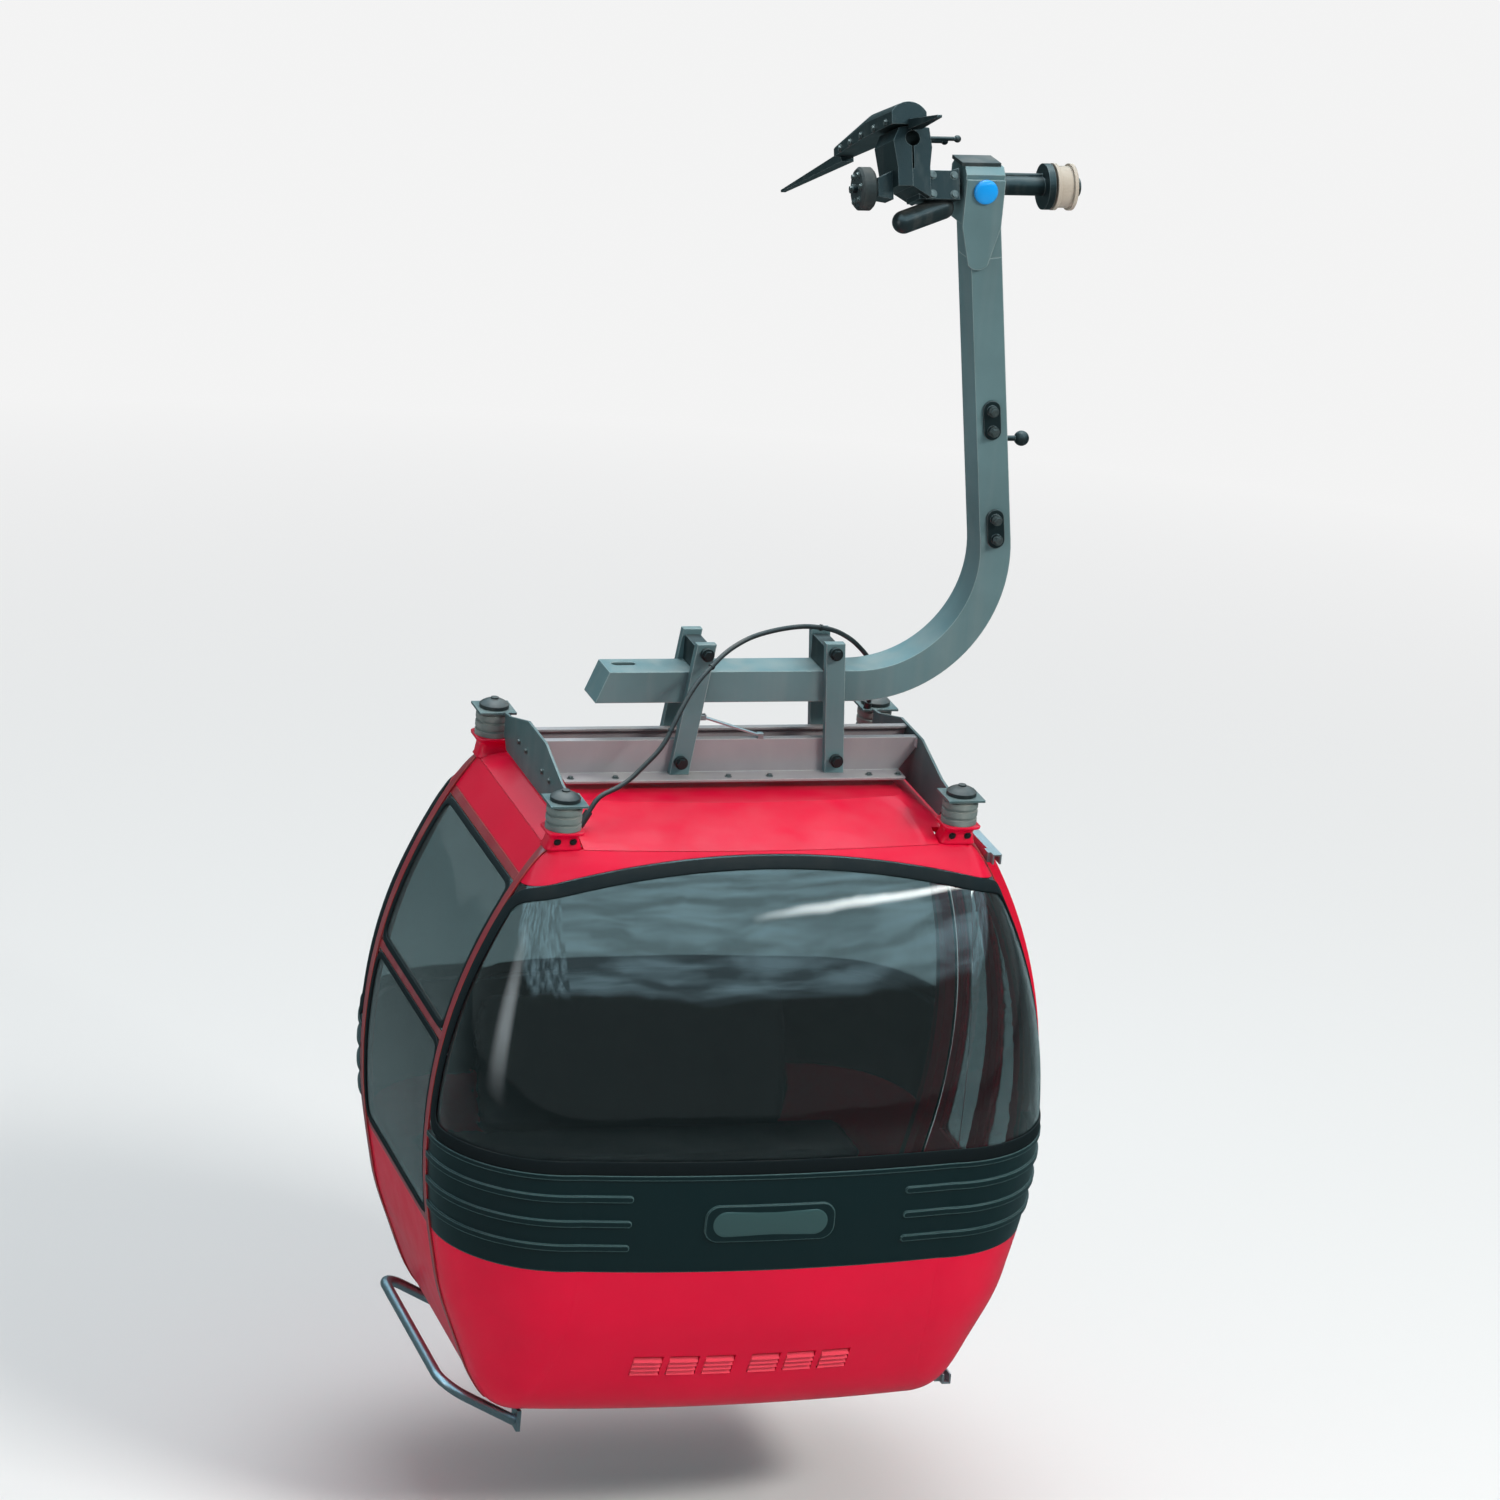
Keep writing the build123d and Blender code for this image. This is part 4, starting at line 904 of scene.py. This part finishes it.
# Moulded benches, four places on each, drawn as rings across the cabin. A box is near, far, low and high
bench = {"half": 0.752, "backHalf": 0.555, "places": 4, "round": 0.035, "seatHollow": 0.017,
         "backHollow": 0.014, "seat": (0.397, 0.688, 0.397, 0.4535), "back": (0.653, 0.777, 0.458, 0.903),
         "backThick": 0.036, "nose": 0.026, "noseDrop": 0.9, "edge": 0.012, "toe": (0.030, 0.008, 0.010),
         "topEdge": (0.006, 0.018), "stations": 72, "endShrink": (0.12, 0.5)}


# A point of an outline is its distance from the cabin's middle, its height and its share of a hollow

def seatOutline(spec):
    front, back, low, high = spec["seat"]
    nose, edge, toe = spec["nose"], spec["edge"], spec["toe"]
    points = [(front + nose * (1 - math.cos(a)), high - nose * (1 - math.sin(a)) * spec["noseDrop"], 0.0)
              for a in (i * math.pi / 12 for i in range(7))]
    points += [(front + nose + (back - front - 2 * nose) * i / 12, high, math.sin(math.pi * i / 12))
               for i in range(1, 12)]
    points += [(back - edge, high, 0.0), (back, high - edge, 0.0), (back, low + edge, 0.0),
               (back - edge, low, 0.0), (front + toe[0], low, 0.0), (front + toe[1], low + toe[2], 0.0)]
    return points


def backOutline(spec):
    near, far, low, high = spec["back"]
    thick, (inward, down) = spec["backThick"], spec["topEdge"]
    slope = (far - near) / (high - low)
    points = []
    for i in range(15):
        z = low + (high - down - low) * i / 14
        points.append((near + slope * (z - low), z, math.sin(math.pi * i / 14)))
    points += [(far + inward, high - inward, 0.0), (far + thick * 0.5, high, 0.0),
               (far + thick - inward, high - inward, 0.0)]
    points += [(near + thick + slope * (z - low), z, 0.0) for z in (high - down, (low + high) / 2, low)]
    return points


def benchRings(mesh, spec, outline, half, hollow, way, end):
    middle = [sum(point[k] for point in outline) / len(outline) for k in (0, 1)]
    rings = []
    for i in range(spec["stations"] + 1):
        x = half * (2 * i / spec["stations"] - 1)
        over = max(abs(x) - (half - spec["round"]), 0) / spec["round"]
        fall = 1 - math.sqrt(max(1 - over ** 2, 0))
        dip = hollow * math.sin(math.pi * spec["places"] * (x + half) / (2 * half)) ** 2 * (1 - fall)
        shrink = [1 - share * fall for share in spec["endShrink"]]
        ring = []
        for y, z, part in outline:
            y = middle[0] + (y + way[0] * dip * part - middle[0]) * shrink[0]
            z = middle[1] + (z + way[1] * dip * part - middle[1]) * shrink[1]
            ring.append(mesh.verts.new(onFrame(x, end * y, z)))
        rings.append(ring)
    joinRings(mesh, rings, (0, -1))


def addBenches(spec):
    for name, node, outline, half, hollow, way in (
            ("benchSeats", "bench_seats", seatOutline(spec), spec["half"], spec["seatHollow"], (0, -1)),
            ("benchBacks", "bench_backs", backOutline(spec), spec["backHalf"], spec["backHollow"], (1, 0))):
        mesh = bmesh.new()
        for end in (-1, 1):
            benchRings(mesh, spec, outline, half, hollow, way, end)
        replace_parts(keepPiece(name, mesh, "benchGrey", "cabin"), node)


addBenches(bench)

# Ribs: rubber on the floor, and pressed ribs under the pan
floorRibs = {"count": 29, "pitch": 0.026, "height": 0.0475,
             "slat": {"Length": 1.30, "Depth": 0.003, "Thickness": 0.011, "Tilt": 0.0}}
panRibs = {"count": 5, "pitch": 0.21, "height": -0.0525,
           "slat": {"Length": 0.74, "Depth": 0.007, "Thickness": 0.030, "Tilt": 0.0}}


def addRibs(name, spec, row, length, finish):       # row is the way from rib to rib
    count, middle = spec["count"], onFrame(0, 0, spec["height"])
    spots = [[middle + row * (i - (count - 1) / 2) * spec["pitch"]] for i in range(count)]
    mesh = guideMesh(name, spots, [[upwards]] * count, [[length]] * count)
    growPiece(name, slatTree, mesh, spec["slat"], finish, "cabin")


addRibs("floorRibs", floorRibs, lengthways, sideways, "sealRubber")
addRibs("panRibs", panRibs, sideways, lengthways, "floorAluminium")
print("benches and floor made")

# Welds round the hanger's tube and in the corners of the roof frame
welds = {"sizes": {"Width": 0.012, "Height": 0.005, "Sink": 0.001, "Shoulder": 0.0024},
         "tubeHalf": (0.052, 0.068), "armAtHead": (0.6800, 3.845), "frameCorner": (0.629, 0.0713),
         "frameHeights": (2.088, 2.120)}


def boxLoop(middle, across, up, halves):    # round a box section, with the ways out
    corners = [middle + across * a * halves[0] + up * b * halves[1]
               for a, b in ((1, -1), (1, 1), (-1, 1), (-1, -1))]
    points, ways = [], []
    for k, way in enumerate((across, up, -across, -up)):
        for i in range(stepCounts["weldSide"]):
            points.append(corners[k].lerp(corners[(k + 1) % 4], (i + 0.5) / stepCounts["weldSide"]))
            ways.append(way)
    return points, [way.normalized() for way in soften(ways, 1)]


def addWelds(spec):
    x, z = spec["armAtHead"]
    across = Vector((math.cos(hanger["lean"]), 0, math.sin(hanger["lean"])))
    line, outward = boxLoop(onFrame(x, 0, z), across, lengthways, spec["tubeHalf"])
    addStrips("hangerWelds", [line], [outward], spec["sizes"], "hangerGrey", "cabin")
    x, y = spec["frameCorner"]
    low, high = spec["frameHeights"]
    heights = [low + (high - low) * i / stepCounts["weldUp"] for i in range(stepCounts["weldUp"] + 1)]
    lines, ways = [], []
    for side, end in ((-1, -1), (-1, 1), (1, -1), (1, 1)):
        lines.append([onFrame(side * x, end * y, z) for z in heights])
        ways.append([Vector((-side, end, 0)).normalized()] * len(heights))
    addStrips("frameWelds", lines, ways, spec["sizes"], "frameGrey", "cabin", closed=False)


addWelds(welds)

# Domed cap over the hanger's pin
blueCap = {"middle": (0.665, -0.0845, 3.957), "radius": 0.0395, "rim": 0.007, "height": 0.0215,
           "around": 48}


def addBlueCap(spec):
    mesh = bmesh.new()
    middle, radius, rim, around = onFrame(*spec["middle"]), spec["radius"], spec["rim"], spec["around"]
    outline = [(radius, 0.0), (radius, rim)]
    outline += [(radius * math.cos(a), rim + (spec["height"] - rim) * math.sin(a))
                for a in (i * math.pi / 20 for i in range(1, 10))]
    rings = []
    for wide, out in outline:
        turns = (i * 2 * math.pi / around for i in range(around))
        places = [middle + Vector((wide * math.cos(a), -out, wide * math.sin(a))) for a in turns]
        rings.append([mesh.verts.new(place) for place in places])
    joinRings(mesh, rings, (0, -1))
    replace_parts(keepPiece("blueCap", mesh, "capBlue", "cabin"), "blue_cap")


addBlueCap(blueCap)

# Ties on the control cable, each halfway between two points of its route
cableTies = {"between": (((-0.303, -0.296, 2.180), (-0.256, -0.262, 2.268)),
                         ((-0.190, -0.215, 2.362), (-0.072, -0.140, 2.446)),
                         ((0.235, -0.005, 2.486), (0.340, 0.025, 2.463)),
                         ((0.500, 0.148, 2.340), (0.572, 0.246, 2.252))),
             "sizes": nutSizes(0.0108, 0.007, 0.0106, 0.0002, sides=18)}


def addCableTies(spec):
    places = [((onFrame(*a) + onFrame(*b)) / 2, (Vector(b) - Vector(a)).normalized())
              for a, b in spec["between"]]
    addBolts("cableTies", places, spec["sizes"], "glandBlack", "cabin")


addCableTies(cableTies)

# Fastenings of the grip, whose own axes lean with the rope. A roller is its outer face, the height of its
# axle and the radius of its ring of bolts
gripAxes = {"slope": math.radians(22.5), "castingFace": -0.062,
            "castingBolts": ((0.074, -0.112), (0.146, -0.112), (0.074, -0.172), (0.146, -0.172)),
            "humpBolts": (-0.06, 0.06, 0.20, 0.34, 0.47), "humpHeight": 0.052, "axleEnd": -0.176,
            "guide": (0.564, -0.132, 0.046), "coupling": (-0.160, -0.150, 0.046)}


def onGrip(x, y, z):
    return Matrix.Rotation(-gripAxes["slope"], 3, "X") @ Vector((x, y, z))


def addWheelBolts(name, spec, way, body):
    x, z, radius = spec
    places = [(onGrip(x, radius * math.cos(turn), z + radius * math.sin(turn)), way * sideways)
              for turn in (i * math.pi / 3 for i in range(6))]
    addBolts(name, places, smallNut, "boltZinc", body)


def addGripBolts(spec):
    down = onGrip(0, -1, 0)
    places = [(onGrip(x, spec["castingFace"], z), down) for x, z in spec["castingBolts"]]
    tree = treeOf("grip_hump")
    for y in spec["humpBolts"]:
        places.append(tree.ray_cast(onGrip(-1, y, spec["humpHeight"]), sideways)[:2])
    addBolts("gripBolts", places, gripNut, "boltZinc", "grip")
    axle = [(onGrip(spec["axleEnd"], 0, spec["coupling"][1]), -sideways)]
    addBolts("axleNut", axle, smallNut, "boltZinc", "grip")
    addWheelBolts("couplingBolts", spec["coupling"], -1, "coupling_wheel")
    addWheelBolts("guideBolts", spec["guide"], 1, "guide_wheel")


addGripBolts(gripAxes)
print("welds, ties and grip fastenings made")


# Lights, floor and background
studio = {
    "world": (0.80, 0.87, 0.92), "worldStrength": 0.42, "backdrop": 0.90,
    "sky": (0.46, 0.74, 0.86), "skyStrength": 4.4, "ground": (0.10, 0.16, 0.17), "skyline": (0.41, 0.45),
    "cloud": (0.40, 0.64), "cloudShade": 0.28, "mottle": 11.0, "waver": 0.16, "waverScale": 2.2,
    "floorColour": (0.78, 0.78, 0.77), "floorGap": 0.45, "floorReach": 70.0, "floorFade": (5.0, 14.0),
    "lampFade": (0.5, 0.12),    # from a lamp's middle, as shares: where it goes dark and where it is full
    # place, size across and up, power, colour, and whether it shows in what shines or is clear
    "lamps": {
        "keyLamp": ((9, -13, 10), (6, 3), 2500, (1.0, 0.97, 0.93), False),
        "streakLamp": ((8.7, -12.6, 9.6), (9, 0.8), 420, (1.0, 0.99, 0.97), True),
        "skyLamp": ((0, 3, 12), (14, 14), 3900, (0.92, 0.97, 1.0), True),
        "sideLamp": ((-12, -5, 0), (5, 9), 480, (0.90, 0.96, 1.0), True),
    },
}


def softLamp(data, fade):       # a lamp that fades towards its rim
    data.use_nodes = True
    tree = data.node_tree
    tree.nodes.clear()
    spot = addNode(tree, "ShaderNodeNewGeometry").outputs["Parametric"]
    spot = addNode(tree, "ShaderNodeSeparateXYZ", {0: spot}).outputs
    fades = []
    for k in (0, 1):
        off = addMath(tree, "ABSOLUTE", addMath(tree, "SUBTRACT", spot[k], 0.5))
        fades.append(addRange(tree, off, *fade))
    glow = addNode(tree, "ShaderNodeEmission", {"Strength": addMath(tree, "MULTIPLY", *fades)})
    addNode(tree, "ShaderNodeOutputLight", {"Surface": glow.outputs[0]})


def addLamps(spec):
    aim = (cadBox[0] + cadBox[1]) / 2
    for name, (place, size, power, tint, shows) in spec["lamps"].items():
        data = bpy.data.lights.new(name, "AREA")
        data.shape = "RECTANGLE"
        data.size, data.size_y = size
        data.energy = power
        data.color = tint
        item = addObject(name, data)
        item.visible_glossy = shows
        item.visible_transmission = shows
        if shows:
            softLamp(data, spec["lampFade"])
        item.location = place
        item.rotation_euler = (aim - Vector(place)).to_track_quat("-Z", "Y").to_euler()


def addGlow(tree, kind, tint, strength=1.0):
    return addNode(tree, kind, {"Color": tint, "Strength": strength}).outputs[0]


def addBlend(tree, share, first, second):
    return addNode(tree, "ShaderNodeMixShader", {0: share, 1: first, 2: second})


def makeWorld(spec):        # plain as a light, pale behind the cabin, and hazy sky over land in what shines
    world = bpy.data.worlds.new("studio")
    world.use_nodes = True
    tree = world.node_tree
    tree.nodes.clear()
    seen = addNode(tree, "ShaderNodeLightPath").outputs
    way = addNode(tree, "ShaderNodeTexCoord").outputs["Generated"]
    cloud = addNoise(tree, way, spec["mottle"], 6.0, (1.0, 1.0, 2.4))
    waver = addMath(tree, "SUBTRACT", addNoise(tree, way, spec["waverScale"], 3.0), 0.5)
    up = addMath(tree, "ADD", addHeight(tree, way), addMath(tree, "MULTIPLY", waver, spec["waver"]))
    bright = addRange(tree, cloud, *spec["cloud"], (spec["cloudShade"], 1.0))
    lit = addMix(tree, bright, (0, 0, 0, 1), colour(spec["sky"]))
    land = colour([value / spec["skyStrength"] for value in spec["ground"]])
    hazy = addMix(tree, addRange(tree, up, *spec["skyline"]), land, lit)
    plain = addGlow(tree, "ShaderNodeBackground", colour(spec["world"]), spec["worldStrength"])
    shown = addGlow(tree, "ShaderNodeBackground", hazy, spec["skyStrength"])
    pale = addGlow(tree, "ShaderNodeBackground", colour([spec["backdrop"]] * 3))
    either = addMath(tree, "MAXIMUM", seen["Is Camera Ray"], seen["Is Transmission Ray"])
    shining = addBlend(tree, seen["Is Glossy Ray"], plain, shown)
    mixed = addBlend(tree, either, shining.outputs[0], pale)
    addNode(tree, "ShaderNodeOutputWorld", {"Surface": mixed.outputs[0]})
    scene.world = world


def makeFloor(spec):        # clear from below, so that it doesn't hide the cabin
    reach, low = spec["floorReach"], cadBox[0].z - spec["floorGap"]
    mesh = bpy.data.meshes.new("floor")
    corners = [(-reach, -reach, low), (reach, -reach, low), (reach, reach, low), (-reach, reach, low)]
    mesh.from_pydata(corners, [], [(0, 1, 2, 3)])
    floor = addObject("studioFloor", mesh)
    floor.visible_glossy = False
    tree = newMaterial("studioFloor")
    away = addNode(tree, "ShaderNodeVectorMath", {0: addPlace(tree)}, operation="LENGTH").outputs["Value"]
    cast = addNode(tree, "ShaderNodeBsdfDiffuse", {"Color": colour(spec["floorColour"])}).outputs[0]
    glow = addGlow(tree, "ShaderNodeEmission", colour([spec["backdrop"]] * 3))
    clear = addNode(tree, "ShaderNodeBsdfTransparent").outputs[0]
    seen = addNode(tree, "ShaderNodeLightPath").outputs["Is Camera Ray"]
    under = addMath(tree, "MULTIPLY", addNode(tree, "ShaderNodeNewGeometry").outputs["Backfacing"], seen)
    far = addMath(tree, "MULTIPLY", addRange(tree, away, *spec["floorFade"]), seen)
    finishTree(tree, addBlend(tree, under, addBlend(tree, far, cast, glow).outputs[0], clear))
    mesh.materials.append(made["studioFloor"])


addLamps(studio)
makeWorld(studio)
makeFloor(studio)
print("studio lit")
